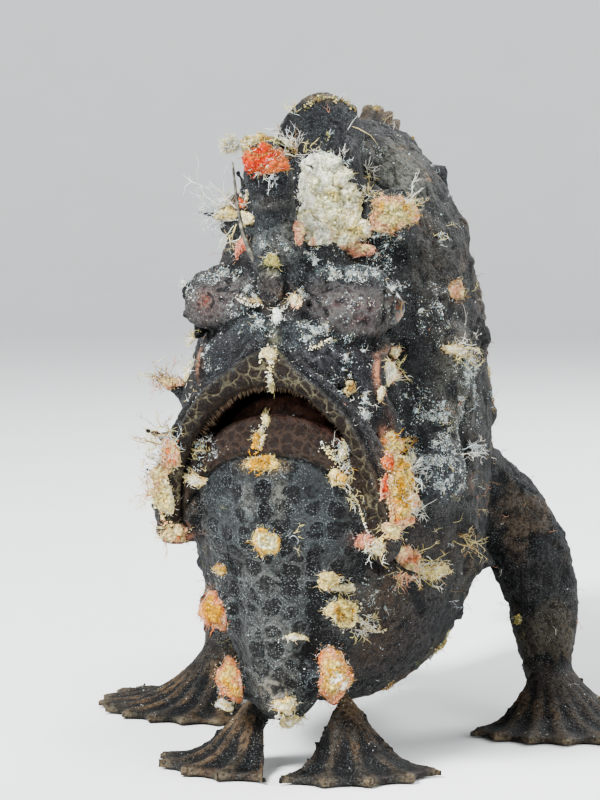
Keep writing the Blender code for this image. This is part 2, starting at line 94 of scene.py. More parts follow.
SIDES = {"left": 1, "right": -1}
FLESH = (
    *("head", "lower_jaw", "trunk", "tail_stalk", "tail_fin", "dorsal_fin", "anal_fin"),
    *("second_dorsal_spine", "third_dorsal_spine"),
    *(f"{limb}_{side}" for limb in ("pectoral_arm", "pectoral_fin", "pelvic_fin") for side in SIDES),
)
FINS = tuple(name for name in FLESH if "fin" in name)

STORE = {}  # what one operator leaves for the next: surface, fins, silt and guide


def linear(hex_colour):
    """A linear colour from a screen colour written as six hexadecimal digits."""
    parts = [int(hex_colour[i : i + 2], 16) / 255 for i in (0, 2, 4)]
    return tuple(c / 12.92 if c <= 0.04045 else ((c + 0.055) / 1.055) ** 2.4 for c in parts)


# Colours of growth, by name.
CREAM = linear("e2d49a")
WHITE = linear("f2f1e6")
IVORY = linear("e8ebcd")
YELLOW = linear("cc9722")
PALE_YELLOW = linear("d8c476")
OCHRE = linear("86641f")
ORANGE = linear("c8713a")
RED = linear("c43812")
PINK = linear("d99f80")
ROSE = linear("bf7864")
TAN = linear("a08056")
SILVER = linear("c4d0d2")
OLIVE = linear("7a7c4a")
PALE_OLIVE = linear("b0ab7c")


# ---- places


def sway(s):
    reach = BODY_LENGTH + TAIL_FIN_LENGTH - SWAY_FROM
    return TAIL_SWAY * np.maximum(0.0, (np.asarray(s, float) - SWAY_FROM) / reach) ** 2


def to_row(x, s, z):
    """A place on the fish in the row frame, in millimetres."""
    return Vector((x + float(sway(s)) - SIDE_TO_MIDDLE, s - FRONT_TO_MIDDLE, z))


def to_fish(points):
    """Row places in millimetres, as arrays x, s and z of the fish's own frame."""
    s = points[:, 1] + FRONT_TO_MIDDLE
    return points[:, 0] + SIDE_TO_MIDDLE - sway(s), s, points[:, 2]


def view_axes():
    """The front view's right, up and towards-the-camera directions, and the camera's place in millimetres."""
    a, e = math.radians(VIEW_AZIMUTH), math.radians(VIEW_ELEVATION)
    right = Vector((math.cos(a), math.sin(a), 0.0))
    back = Vector((math.sin(a) * math.cos(e), -math.cos(a) * math.cos(e), math.sin(e)))
    up = back.cross(right)
    return right, up, back, to_row(*VIEW_TARGET) + right * VIEW_SHIFT + back * VIEW_DISTANCE


def view_ray(across, down):
    right, up, back, eye = view_axes()
    aside, above = (across - VIEW_WIDTH / 2) / VIEW_FOCAL, (VIEW_HEIGHT / 2 - down) / VIEW_FOCAL
    return eye, (right * aside + up * above - back).normalized()


# ---- fields


def ramp(low, high, value):
    t = np.clip((value - low) / (high - low), 0.0, 1.0)
    return t * t * (3 - 2 * t)


def bell(value, width):
    """1 where the value is 0, falling away on both sides."""
    return np.exp(-((value / width) ** 2))


def hashed(i, j, k, seed):
    """A fixed pseudo-random number from 0 to 1 for each cell of a lattice."""
    n = (i * 374761393 + j * 668265263 + k * 1440662683 + seed * 1274126177) & 0xFFFFFFFF
    n = ((n ^ (n >> 13)) * 1274126177) & 0xFFFFFFFF
    n = ((n ^ (n >> 16)) * 2246822519) & 0xFFFFFFFF
    return ((n ^ (n >> 15)) & 0xFFFFFF) / float(0xFFFFFF)


def noise(points, size, seed=1):
    """Smooth noise from -1 to 1, with lumps of that size in millimetres."""
    p = points / size
    base = np.floor(p).astype(np.int64)
    f = p - base
    f = f * f * (3 - 2 * f)
    total = np.zeros(len(points))
    for corner in product((0, 1), repeat=3):
        weight = 1.0
        for k, step in enumerate(corner):
            weight = weight * (f[:, k] if step else 1 - f[:, k])
        total += weight * hashed(*(base[:, k] + step for k, step in enumerate(corner)), seed)
    return total * 2 - 1


def layered(points, size, octaves, seed=1):
    total = np.zeros(len(points))
    for k in range(octaves):
        total += noise(points, size / 2**k, seed + k) / 2**k
    return total


def cells(points, size, seed=1):
    """Distance to the nearest and second nearest point of a scattered lattice, as shares of the cell size."""
    p = points / size
    base = np.floor(p).astype(np.int64)
    first = np.full(len(points), 9.0)
    second = np.full(len(points), 9.0)
    for corner in product((-1, 0, 1), repeat=3):
        at = [base[:, k] + step for k, step in enumerate(corner)]
        away = np.stack([axis + hashed(*at, seed + n) for n, axis in enumerate(at)], 1) - p
        d = np.sqrt((away**2).sum(1))
        second = np.minimum(second, np.maximum(first, d))
        first = np.minimum(first, d)
    return first, second


def near_path(points, path):
    """Distance of each point from a path of straight lengths."""
    best = np.full(len(points), 1e9)
    for a, b in zip(path, path[1:]):
        a, b = np.asarray(a, float), np.asarray(b, float)
        along = b - a
        t = np.clip(((points - a) @ along) / max(along @ along, 1e-9), 0, 1)
        best = np.minimum(best, np.sqrt(((points - a - t[:, None] * along) ** 2).sum(1)))
    return best


def gape_share(x, z):
    """1 on the edge of the gape, less inside it and more outside."""
    return np.sqrt((x / GAPE_HALF) ** 2 + (np.maximum(z - GAPE_SPRING_Z, 0.0) / GAPE_RISE) ** 2)


def lip_rim(x, z):
    """Where the upper lip's band ends, as a gape_share: a pointed arch with a flap at each corner."""
    return 1.13 + 0.12 * bell(x, 2.8) + 0.07 * ramp(32, 26, z)


def lower_crease(x):
    """Height of the crease under the lower lip."""
    return 33.2 - 0.0106 * np.abs(x) ** 2.8


# ---- mesh helpers


def choose(obj=None):
    """Selects one object and nothing else, or nothing at all."""
    if bpy.context.object and bpy.context.object.mode != "OBJECT":
        bpy.ops.object.mode_set(mode="OBJECT")
    bpy.ops.object.select_all(action="DESELECT")
    if obj:
        obj.select_set(True)
        bpy.context.view_layer.objects.active = obj


def linked(name, data):
    obj = bpy.data.objects.new(name, data)
    bpy.context.scene.collection.objects.link(obj)
    return obj


def apply_all(obj):
    choose(obj)
    for modifier in list(obj.modifiers):
        bpy.ops.object.modifier_apply(modifier=modifier.name)


def in_edit_mode(step, **options):
    """Runs one operator in edit mode on all of the active mesh."""
    bpy.ops.object.mode_set(mode="EDIT")
    bpy.ops.mesh.select_all(action="SELECT")
    step(**options)
    bpy.ops.object.mode_set(mode="OBJECT")


def read(items, field, width=3, kind=float):
    """One field of a mesh's vertices, edges, corners or faces, with a row for each."""
    out = np.empty(len(items) * width, kind)
    items.foreach_get(field, out)
    return out.reshape(-1, width)


def positions(mesh):
    """Vertex places in millimetres."""
    return read(mesh.vertices, "co") * 1000


def edges(mesh):
    return read(mesh.edges, "vertices", 2, np.int64)


def move_to(mesh, points):
    mesh.vertices.foreach_set("co", (points * MM).ravel())
    mesh.update()


def relaxed(values, pairs, weight, rounds):
    """Values softened over the mesh: each takes a share of its neighbours' average, by its weight."""
    count = len(values)
    degree = np.bincount(pairs.ravel(), minlength=count)
    flat = values.reshape(count, -1).copy()
    share = np.broadcast_to(np.asarray(weight, float), (count,))[:, None]
    ends = ((pairs[:, 0], pairs[:, 1]), (pairs[:, 1], pairs[:, 0]))
    for _ in range(rounds):
        total = [sum(np.bincount(a, column[b], count) for a, b in ends) for column in flat.T]
        flat += share * (np.stack(total, 1) / degree[:, None] - flat)
    return flat.reshape(values.shape)


def set_float(mesh, name, values):
    attribute = mesh.attributes.get(name) or mesh.attributes.new(name, "FLOAT", "POINT")
    attribute.data.foreach_set("value", np.asarray(values, np.float32))


def set_colour(mesh, name, values):
    attribute = mesh.attributes.get(name) or mesh.attributes.new(name, "FLOAT_COLOR", "POINT")
    rgba = np.ones((len(values), 4), np.float32)
    rgba[:, :3] = values
    attribute.data.foreach_set("color", rgba.ravel())


# ---- settings


def length(name, description, default):
    return FloatProperty(name=name, description=description, default=default, unit="LENGTH")


def strength(name, description, default):
    return FloatProperty(name=name, description=description, default=default)


def whole(name, description, default):
    return IntProperty(name=name, description=description, default=default)


def shade(name, description, default):
    return FloatVectorProperty(name=name, description=description, subtype="COLOR", default=default)


class SkinSettings(PropertyGroup):
    """Sizes and colours of the skin."""

    grid: length("Grid", "Cell in which the solids are joined", 0.00046)
    coat: length("Coat depth", "How far the skin lies inside the solids", 0.0001)
    triangles: whole("Triangles", "How many the skin is thinned to", 196000)
    disc: length("Disc spacing", "Spacing of the dark discs", 0.0021)
    lip_cell: length("Lip cell", "Size of the cells on the lips", 0.0013)
    stipple: length("Stipple", "Spacing of the fine pale dots", 0.00021)
    charcoal: shade("Charcoal", "Ground of the skin", linear("201e20"))
    # Dark serves the real dark discs, and also the painted shade in grooves and pits.
    dark: shade("Dark", "Grooves and discs", linear("08080a"))
    haze: shade("Haze", "Grey between the discs", linear("3a3e3f"))
    brown: shade("Brown", "Web round the cells of the lips", linear("2c2418"))
    deep_brown: shade("Deep brown", "Cells of the lips", linear("1a100a"))
    line: shade("Line", "Pale lines between cells", linear("757159"))


class GrowthSettings(PropertyGroup):
    """Sizes and numbers of the growth on the skin."""

    lump: length("Lump", "Radius of a common lump of crust", 0.0001)
    crowding: strength("Crowding", "Lumps of crust per square millimetre", 9.0)
    fuzz: strength("Fuzz", "Fine threads of crust per square millimetre", 13.0)
    strand: length("Strand", "Radius of a strand at its root", 0.00004)
    grain: length("Grain", "Radius of a common grain of silt", 0.000045)
    grains: whole("Grains", "How many grains lie on the skin", 19000)
    seed: whole("Seed", "Start of the fixed scatter", 7)


class EyeSettings(PropertyGroup):
    """Sizes and colours of the eyes."""

    pupil: length("Pupil", "Radius of the pupil", 0.0006)
    iris: shade("Iris", "Streaks of the iris", linear("6b3c14"))
    dark: shade("Dark", "Between the streaks", linear("120d0b"))


class StageSettings(PropertyGroup):
    """Floor, lights and camera."""

    floor: shade("Floor", "Colour of the floor", (0.88, 0.89, 0.89))
    floor_radius: length("Floor radius", "Flat part", 0.9)
    wall_bend: length("Wall bend", "Radius of the sweep", 0.5)
    wall_height: length("Wall height", "Above the sweep", 0.5)
    key: strength("Key light", "Strength in watts", 7.0)
    fill: strength("Fill light", "Strength in watts", 1.6)
    rim: strength("Rim light", "Strength in watts", 2.5)
    sky: strength("Sky", "Strength of the even light", 0.7)


# ---- materials


class Nodes:
    """Adds and links nodes in one tree. What is given to a node is a row: socket, value, socket, value."""

    def __init__(self, tree):
        self.tree = tree

    def add(self, kind, *given, **values):
        node = self.tree.nodes.new(kind)
        for name, value in values.items():
            setattr(node, name, value)
        self.feed(node, *given)
        return node

    def feed(self, node, *given):
        for socket, value in zip(given[::2], given[1::2]):
            target = node.inputs[socket]
            if isinstance(value, bpy.types.NodeSocket):
                self.tree.links.new(value, target)
            elif target.type == "RGBA" and len(value) == 3:
                target.default_value = (*value, 1.0)
            else:
                target.default_value = value

    def math(self, operation, a, b=0.0, clamp=False):
        return self.add("ShaderNodeMath", 0, a, 1, b, operation=operation, use_clamp=clamp).outputs[0]

    def times(self, a, b, *more):
        made = self.math("MULTIPLY", a, b)
        return self.times(made, *more) if more else made

    def ramp(self, value, low, high, start=0.0, end=1.0):
        given = ("Value", value, "From Min", low, "From Max", high, "To Min", start, "To Max", end)
        return self.add("ShaderNodeMapRange", *given, interpolation_type="SMOOTHSTEP", clamp=True).outputs[0]

    def mix(self, factor, a, b, blend="MIX"):
        """Two colours mixed: the node has sockets of other kinds too, so they are given by number."""
        return self.add("ShaderNodeMix", 0, factor, 6, a, 7, b, data_type="RGBA", blend_type=blend).outputs[2]

    def attribute(self, name, output="Fac"):
        return self.add("ShaderNodeAttribute", attribute_name=name).outputs[output]

    def noise(self, vector, scale, detail=2.0, rough=0.5, output="Fac"):
        given = ("Vector", vector, "Scale", scale, "Detail", detail, "Roughness", rough)
        return self.add("ShaderNodeTexNoise", *given).outputs[output]

    def voronoi(self, vector, scale, feature="F1", randomness=1.0):
        given = ("Vector", vector, "Scale", scale, "Randomness", randomness)
        return self.add("ShaderNodeTexVoronoi", *given, feature=feature).outputs["Distance"]

    def vector(self, operation, a, b):
        return self.add("ShaderNodeVectorMath", 0, a, 1, b, operation=operation).outputs[0]

    def shifted(self, vector, scale, amount):
        """The vector pushed about by noise, so that cells are not straight-sided."""
        push = self.vector("SUBTRACT", self.noise(vector, scale, output="Color"), (0.5, 0.5, 0.5))
        sized = self.add("ShaderNodeVectorMath", 0, push, "Scale", amount, operation="SCALE")
        return self.vector("ADD", vector, sized.outputs[0])

    def bump(self, height, amount, distance):
        given = ("Height", height, "Strength", amount, "Distance", distance)
        return self.add("ShaderNodeBump", *given).outputs[0]


def new_material(name):
    """A material, its nodes, its shader, and the place on the piece that its patterns follow."""
    made = bpy.data.materials.new(name)
    made.use_nodes = True
    made.node_tree.nodes.clear()
    nodes = Nodes(made.node_tree)
    shader = nodes.add("ShaderNodeBsdfPrincipled")
    nodes.add("ShaderNodeOutputMaterial", 0, shader.outputs[0])
    return made, nodes, shader, nodes.add("ShaderNodeTexCoord").outputs["Object"]


def stipple_group():
    """The group of fine pale dots and larger flecks."""
    tree = bpy.data.node_groups.new("stipple", "ShaderNodeTree")
    tree.interface.new_socket("Vector", in_out="INPUT", socket_type="NodeSocketVector")
    for name in ("Dot Scale", "Fleck Scale", "Fleck Share"):
        tree.interface.new_socket(name, in_out="INPUT", socket_type="NodeSocketFloat")
    for name in ("Dots", "Flecks"):
        tree.interface.new_socket(name, in_out="OUTPUT", socket_type="NodeSocketFloat")
    nodes = Nodes(tree)
    given, end = nodes.add("NodeGroupInput").outputs, nodes.add("NodeGroupOutput")
    dots = nodes.ramp(nodes.voronoi(given["Vector"], given["Dot Scale"]), 0.16, 0.38, 1.0, 0.0)
    place = nodes.add("ShaderNodeTexVoronoi", "Vector", given["Vector"], "Scale", given["Fleck Scale"])
    pick = nodes.add("ShaderNodeSeparateColor", 0, place.outputs["Color"])
    chosen = nodes.math("LESS_THAN", pick.outputs[0], given["Fleck Share"])
    size = nodes.ramp(pick.outputs[1], 0.0, 1.0, 0.18, 0.42)
    inside = nodes.math("LESS_THAN", place.outputs["Distance"], size)
    nodes.feed(end, "Dots", dots, "Flecks", nodes.times(chosen, inside))
    return tree


def stipple(nodes, place, dot_scale, fleck_scale, fleck_share):
    """Masks of the dots and the flecks, from the group that skin, eyes and growth share."""
    tree = bpy.data.node_groups.get("stipple") or stipple_group()
    given = ("Vector", place, "Dot Scale", dot_scale, "Fleck Scale", fleck_scale, "Fleck Share", fleck_share)
    fine = nodes.add("ShaderNodeGroup", *given, node_tree=tree)
    return fine.outputs["Dots"], fine.outputs["Flecks"]


def skin_material(settings):
    made, nodes, shader, place = new_material("frogfish_skin")
    tint = nodes.attribute("tint", "Color")
    marks = ("stain", "net", "lip", "lower_lip", "speck", "hollow", "brow")
    stain, net, lip, lower_lip, speck, hollow, brow = (nodes.attribute(name) for name in marks)
    fleck_share = nodes.ramp(speck, 0.02, 1.0, 0.002, 0.45)
    dots, flecks = stipple(nodes, place, 1 / settings.stipple, 4600.0, fleck_share)

    mottle = nodes.noise(place, 620.0, 4.0, 0.6)
    cloud = nodes.noise(place, 260.0, 3.0, 0.55)
    crumbs = nodes.noise(place, 2300.0, 4.0, 0.65)
    ground = nodes.mix(nodes.ramp(mottle, 0.38, 0.66), settings.dark, settings.charcoal)
    ground = nodes.mix(nodes.times(stain, nodes.ramp(mottle, 0.3, 0.55, 0.5, 0.95)), ground, tint)
    # Painted shade in the pits: the skin is darker where the fine bump is low.
    pit_shade = nodes.times(nodes.ramp(crumbs, 0.4, 0.56, 1.0, 0.0), 0.75)
    ground = nodes.mix(pit_shade, ground, settings.dark)

    # Round dark discs packed close, with grey between them, each in a thin pale ring.
    bent = nodes.shifted(place, 900.0, 0.0005)
    away = nodes.voronoi(bent, 1 / settings.disc, "F1", 0.72)
    gap = nodes.voronoi(bent, 1 / settings.disc, "DISTANCE_TO_EDGE", 0.72)
    disc = nodes.times(nodes.ramp(away, 0.5, 0.62, 1.0, 0.0), nodes.ramp(gap, 0.05, 0.12))
    beside = nodes.math("SUBTRACT", 1.0, disc)
    thick = nodes.times(nodes.ramp(cloud, 0.34, 0.66, 0.2, 0.8), nodes.ramp(crumbs, 0.36, 0.6, 0.6, 1.0))
    colour = nodes.mix(nodes.times(net, beside, thick), ground, settings.haze)
    colour = nodes.mix(nodes.times(net, disc, 0.85), colour, settings.dark)
    ring = nodes.math("MULTIPLY", nodes.times(disc, beside), 4.0, clamp=True)
    ring = nodes.times(ring, net, nodes.ramp(mottle, 0.36, 0.6, 0.06, 0.5))
    colour = nodes.mix(ring, colour, linear("687172"))

    # Cells on the brows and lips: reddish, dim and brown, each in a web with a pale line along its middle.
    bent_lip = nodes.shifted(place, 1700.0, 0.0007)
    for share, size, pale, web, cell, cover in (
        (brow, settings.lip_cell * 0.7, 0.2, linear("5b5856"), linear("35282a"), 0.5),
        (lower_lip, settings.lip_cell * 0.85, 0.04, linear("34261d"), linear("1d110c"), 0.8),
        (lip, settings.lip_cell, 0.6, settings.brown, settings.deep_brown, 0.95),
    ):
        wall = nodes.voronoi(bent_lip, 1 / size, "DISTANCE_TO_EDGE", 0.85)
        thin = nodes.times(nodes.ramp(wall, 0.0, 0.06, 1.0, 0.0), pale)
        thin = nodes.times(thin, nodes.ramp(mottle, 0.36, 0.55, 0.4, 1.0))
        painted = nodes.mix(thin, nodes.mix(nodes.ramp(wall, 0.06, 0.16), web, cell), settings.line)
        colour = nodes.mix(nodes.times(share, cover), colour, painted)

    # Painted shade darkens the grooves and a painted highlight makes the ridges paler, both read from the
    # hollow mark.
    colour = nodes.mix(nodes.ramp(hollow, 0.5, 0.86, 0.0, 0.92), colour, settings.dark)
    ridge_highlight = nodes.times(nodes.ramp(hollow, 0.1, 0.44, 1.0, 0.0), nodes.ramp(crumbs, 0.42, 0.6, 0.0, 0.5))
    bare = nodes.math("SUBTRACT", 1.0, nodes.math("MAXIMUM", lip, lower_lip))
    colour = nodes.mix(nodes.times(ridge_highlight, bare), colour, nodes.mix(0.5, settings.haze, tint))

    # Fine silt, a dense pale stipple that comes and goes, and flecks.
    dust = nodes.times(nodes.ramp(crumbs, 0.54, 0.64), nodes.ramp(cloud, 0.4, 0.6, 0.0, 0.9))
    dust = nodes.times(dust, nodes.ramp(speck, 0.0, 0.6, 0.12, 0.75))
    colour = nodes.mix(dust, colour, (0.11, 0.17, 0.18))
    shown = nodes.times(dots, nodes.ramp(mottle, 0.34, 0.6, 0.15, 0.85), nodes.ramp(bare, 0.0, 1.0, 0.3, 1.0))
    dot_colour = nodes.mix(net, (0.15, 0.18, 0.19), (0.29, 0.33, 0.34))
    colour = nodes.mix(shown, colour, nodes.mix(0.3, dot_colour, tint))
    colour = nodes.mix(nodes.times(flecks, 0.6), colour, SILVER)

    height = nodes.times(dots, 0.4)
    for part in (
        nodes.times(dust, 1.4),
        nodes.times(net, disc, 0.8),
        nodes.times(lip, nodes.ramp(wall, 0.05, 0.25)),
        nodes.times(crumbs, 2.4),
    ):
        height = nodes.math("ADD", height, part)
    nodes.feed(shader, "Base Color", colour, "Roughness", nodes.ramp(mottle, 0.3, 0.75, 0.5, 0.8))
    nodes.feed(shader, "Specular IOR Level", 0.24, "Normal", nodes.bump(height, 0.9, 0.00016))
    return made


def growth_material(name, roughness, bump_scale):
    """Painted growth: its own colour, clouded and flecked, with painted shade in the low spots of its bump
    and a painted highlight on its tops.
    """
    made, nodes, shader, place = new_material(name)
    own = nodes.attribute("growth_colour", "Color")
    _, flecks = stipple(nodes, place, 7000.0, 4200.0, 0.12)
    cloud = nodes.noise(place, 1500.0, 3.0, 0.6)
    crumbs = nodes.noise(place, bump_scale, 4.0, 0.7)
    deep = nodes.mix(0.8, own, (0.16, 0.11, 0.07), "MULTIPLY")
    colour = nodes.mix(nodes.ramp(cloud, 0.36, 0.6, 0.34, 0.0), own, deep)
    # Painted shade where the bump is low, and a painted highlight where it is high.
    colour = nodes.mix(nodes.ramp(crumbs, 0.34, 0.5, 0.58, 0.0), colour, deep)
    colour = nodes.mix(nodes.ramp(crumbs, 0.56, 0.7, 0.0, 0.28), colour, WHITE)
    colour = nodes.mix(nodes.times(flecks, 0.4), colour, WHITE)
    nodes.feed(shader, "Base Color", colour, "Roughness", roughness)
    nodes.feed(shader, "Specular IOR Level", 0.3, "Normal", nodes.bump(crumbs, 0.9, 0.00012))
    return made


# ---- the skin

FACE_PLANE = 9.0  # s of the plane in which a place that misses the skin is taken


class Surface:
    """The finished skin, to place things on."""

    def __init__(self, obj):
        self.points, self.facing = positions(obj.data), read(obj.data.vertices, "normal")
        obj.data.calc_loop_triangles()
        self.triangles = read(obj.data.loop_triangles, "vertices", 3, np.int64)
        self.tree = BVHTree.FromPolygons(self.points.tolist(), self.triangles.tolist())

    def seen(self, across, down):
        """The place on the skin, and its normal, that shows there in the front view."""
        eye, aim = view_ray(across, down)
        place, normal, _, _ = self.tree.ray_cast(eye, aim)
        if place is None:
            reach = (FACE_PLANE - FRONT_TO_MIDDLE - eye.y) / aim.y
            place, normal, _, _ = self.tree.find_nearest(eye + aim * reach)
        return place, normal


# Folds of the face: half width and height in millimetres, under 0 for a groove, and a path in the front view.
FOLDS = (
    # The brow on the left of the view, then the nose and the second spine.
    (0.6, 0.38, (190, 283), (205, 275), (225, 266), (242, 257)),
    (0.65, -1.1, (192, 331), (200, 336), (208, 335)),
    (0.6, -0.6, (206, 333), (222, 327), (240, 317), (256, 309)),
    (0.34, 0.34, (216, 294), (236, 297), (258, 304)),
    (0.25, 0.16, (197, 292), (206, 287), (216, 294), (217, 306), (208, 315), (198, 310)),
    (0.6, -0.35, (250, 262), (255, 280), (257, 296)),
    (0.5, -0.3, (284, 268), (286, 282), (287, 292)),
    (
        *(0.24, 0.3, (262, 284), (266, 273), (276, 272), (282, 282)),
        *((280, 296), (270, 302), (263, 295), (262, 284)),
    ),
    (0.6, -0.22, (271, 287)),
    (0.5, 0.3, (272, 262)),
    (0.3, -0.3, (254, 181), (268, 185), (284, 180)),
    (0.35, 0.3, (254, 203), (268, 208), (284, 202)),
    (0.35, -0.32, (252, 222), (268, 228), (286, 221)),
    # The brow on the right.
    (0.55, 0.26, (312, 279), (334, 268), (358, 268), (380, 276), (394, 292)),
    (0.4, -0.32, (344, 279), (360, 281), (378, 286), (390, 294)),
    (0.5, 0.22, (326, 322), (344, 330), (362, 333), (380, 329), (391, 318)),
    (0.7, -0.55, (306, 316), (322, 333), (346, 343), (374, 344), (392, 336)),
    (0.4, -0.22, (300, 286), (316, 298), (328, 314)),
    (0.5, -0.2, (357, 304)),
    (0.5, -0.2, (373, 306)),
    (0.5, -0.15, (362, 321)),
    # The cheeks and the folds beside the lip.
    (0.45, 0.75, (397, 334), (386, 348), (377, 360), (374, 374), (378, 390), (383, 404), (391, 420)),
    (0.9, -1.3, (408, 344), (398, 358), (393, 374), (395, 392), (402, 410)),
    (0.35, 0.35, (204, 347), (200, 360), (198, 376)),
    (0.7, -0.6, (184, 350), (184, 372), (178, 392)),
    (0.2, 0.28, (248, 350), (233, 364), (219, 380), (204, 393)),
    (0.22, 0.22, (240, 346), (225, 359), (210, 374), (197, 386)),
    (0.2, 0.28, (296, 358), (313, 372), (331, 387), (348, 401)),
    (0.3, 0.24, (304, 351), (324, 367), (344, 384)),
    (0.5, -0.3, (330, 352), (345, 366), (356, 384)),
    # The snout and the nostrils.
    (0.55, 0.28, (276, 332), (275, 344), (271, 356)),
    (0.6, 0.3, (279, 321)),
    (0.2, -0.6, (272, 319)),
    (0.58, 0.75, (295, 302)),
    (0.24, -1.1, (296, 302)),
    (0.32, -0.6, (309, 304)),
    (0.25, 0.25, (303, 300), (312, 298), (317, 304)),
    (0.45, 0.45, (256, 302)),
    (0.2, -0.7, (258, 304)),
    # The chin, the flaps at the corners of the mouth, the throat, the flank and the nape.
    (0.6, 0.4, (247, 488), (246, 500), (247, 515)),
    (0.6, 0.4, (279, 488), (280, 502), (280, 518)),
    (0.42, -0.4, (263, 486), (263, 502), (264, 518)),
    (0.6, 0.35, (361, 483)),
    (0.6, 0.3, (368, 508)),
    (0.45, 0.3, (375, 487)),
    (0.6, 0.3, (182, 500)),
    (0.4, -0.5, (198, 494), (199, 512), (197, 526)),
    (0.8, -0.35, (228, 560), (236, 600), (244, 650)),
    (0.9, -0.4, (312, 560), (318, 600), (312, 650)),
    (0.8, -0.6, (400, 575), (414, 590), (425, 612)),
    (0.8, -0.5, (470, 400), (462, 430), (470, 462)),
    (0.7, -0.5, (372, 176), (392, 186), (408, 204)),
    (0.7, -0.5, (360, 236), (384, 242), (404, 256)),
)
FOLD_REACH = 2.4  # half widths past which a fold is not felt
SEAM_REACH = 0.24  # each solid is swollen by this much so that neighbours meet across their gap
FINE_HOLLOW = 0.05  # millimetres under the softened skin that count as fully hollow
BROAD_HOLLOW = 0.22


def flesh_mesh(settings):
    """The solids of flesh run together into one closed mesh on a fine grid."""
    bm = bmesh.new()
    for name in FLESH:
        bm.from_mesh(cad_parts[name].data)
    bmesh.ops.remove_doubles(bm, verts=bm.verts, dist=1e-6)
    mesh = bpy.data.meshes.new("frogfish_skin")
    bm.to_mesh(mesh)
    bm.free()
    obj = linked("frogfish_skin", mesh)
    swell = obj.modifiers.new("swell", "DISPLACE")
    swell.mid_level = 0.0
    swell.strength = SEAM_REACH * MM
    melt = obj.modifiers.new("melt", "REMESH")
    melt.mode = "VOXEL"
    melt.voxel_size = settings.grid
    apply_all(obj)
    return obj


def nearest_part(points):
    """For each point, whether the nearest solid is a fin, 0 or 1."""
    places = [(place, name in FINS) for name in FLESH for place in positions(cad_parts[name].data)]
    tree = KDTree(len(places))
    for k, (place, _) in enumerate(places):
        tree.insert(place, k)
    tree.balance()
    return np.array([places[tree.find(p)[1]][1] for p in points], float)


def refine_face(obj):
    """Splits the faces of the head, so that lips and lids can be modelled."""
    mesh = obj.data
    _, s, z = to_fish(read(mesh.polygons, "center") * 1000)
    wanted = (s < 12.5) & (z > 9) & ((s < 9.5) | (z > 18))
    choose(obj)
    bpy.ops.object.mode_set(mode="EDIT")
    bpy.ops.mesh.select_mode(type="FACE")
    bpy.ops.mesh.select_all(action="DESELECT")
    bpy.ops.object.mode_set(mode="OBJECT")
    mesh.polygons.foreach_set("select", wanted)
    bpy.ops.object.mode_set(mode="EDIT")
    bpy.ops.mesh.subdivide(number_cuts=1)
    bpy.ops.object.mode_set(mode="OBJECT")


def along_folds(points, surface):
    """Height of the folds of the face."""
    height = np.zeros(len(points))
    for width, tall, *path in FOLDS:
        stops = [np.array(surface.seen(*at)[0]) for at in path]
        span = sum(float(np.linalg.norm(b - a)) for a, b in zip(stops, stops[1:]))
        off = ((points - stops[len(stops) // 2]) ** 2).sum(1)
        near = off < (FOLD_REACH * width + 1.0 + span) ** 2
        away = near_path(points[near], stops if len(stops) > 1 else stops * 2)
        height[near] += tall * bell(away, width)
    return height


def mouth_relief(x, s, z):
    """The rolled lips, the creases along them, the slits beside the jaw and the lids."""
    side = np.abs(x)
    front = 1 - ramp(8.5, 11.0, s)
    share = gape_share(x, z)
    rim = lip_rim(x, z)
    band = ramp(0.98, 1.02, share) * (1 - ramp(-0.03, 0.01, share - rim)) * front * ramp(23.5, 25.5, z)
    height = 0.22 * band
    height += 0.38 * bell(share - rim, 0.018) * front * ramp(25, 27, z)
    height -= 0.35 * bell(share - rim - 0.05, 0.022) * front * ramp(26, 29, z)
    slit = bell(share - 0.985, 0.014) * front * (1 - ramp(36.5, 38.0, z)) * ramp(22.5, 24.5, z)
    height -= 0.8 * slit

    crease = lower_crease(x)
    jaw = (1 - ramp(0.95, 0.98, share)) * front
    height += 0.4 * jaw * ramp(-0.1, 0.8, z - crease) * ramp(20, 26, z)
    height -= 0.45 * jaw * bell(z - crease, 0.25)

    pole = np.sqrt((s - EYE[1]) ** 2 + (z - EYE[2]) ** 2)
    height += 0.45 * bell(pole - 1.85, 0.4) * (side > 8.0)
    height -= 0.2 * bell(pole - 2.9, 0.3) * (side > 8.0)
    return height


def body_relief(points, fins):
    """Lumps, wrinkles and small warts all over."""
    flesh = 1 - 0.8 * fins
    height = 0.36 * layered(points, 6.0, 3, 11) * flesh
    height += 0.13 * layered(points, 1.2, 3, 31) * flesh
    creased = 1 - np.abs(layered(points, 2.6, 2, 37))
    height -= 0.16 * ramp(0.9, 1.0, creased) * flesh
    rear = ramp(-44, -34, points[:, 1])
    height += (0.16 * layered(points, 2.6, 3, 35) - 0.14 * ramp(0.88, 1.0, creased)) * flesh * rear
    first, _ = cells(points, 3.1, 41)
    height += 0.42 * (1 - ramp(0.08, 0.3, first)) * flesh * ramp(-0.1, 0.4, noise(points, 9.0, 51))
    first, _ = cells(points, 1.25, 61)
    height += 0.14 * (1 - ramp(0.12, 0.42, first)) * flesh
    return height


def hollows(points, facing, pairs):
    """How hollow each place is, from -1 on ridges to 1 in grooves, at a fine and a broad scale together."""
    fine = ((relaxed(points, pairs, 0.6, 3) - points) * facing).sum(1)
    broad = ((relaxed(points, pairs, 0.6, 16) - points) * facing).sum(1)
    return np.clip(fine / FINE_HOLLOW + broad / BROAD_HOLLOW, -1, 1)


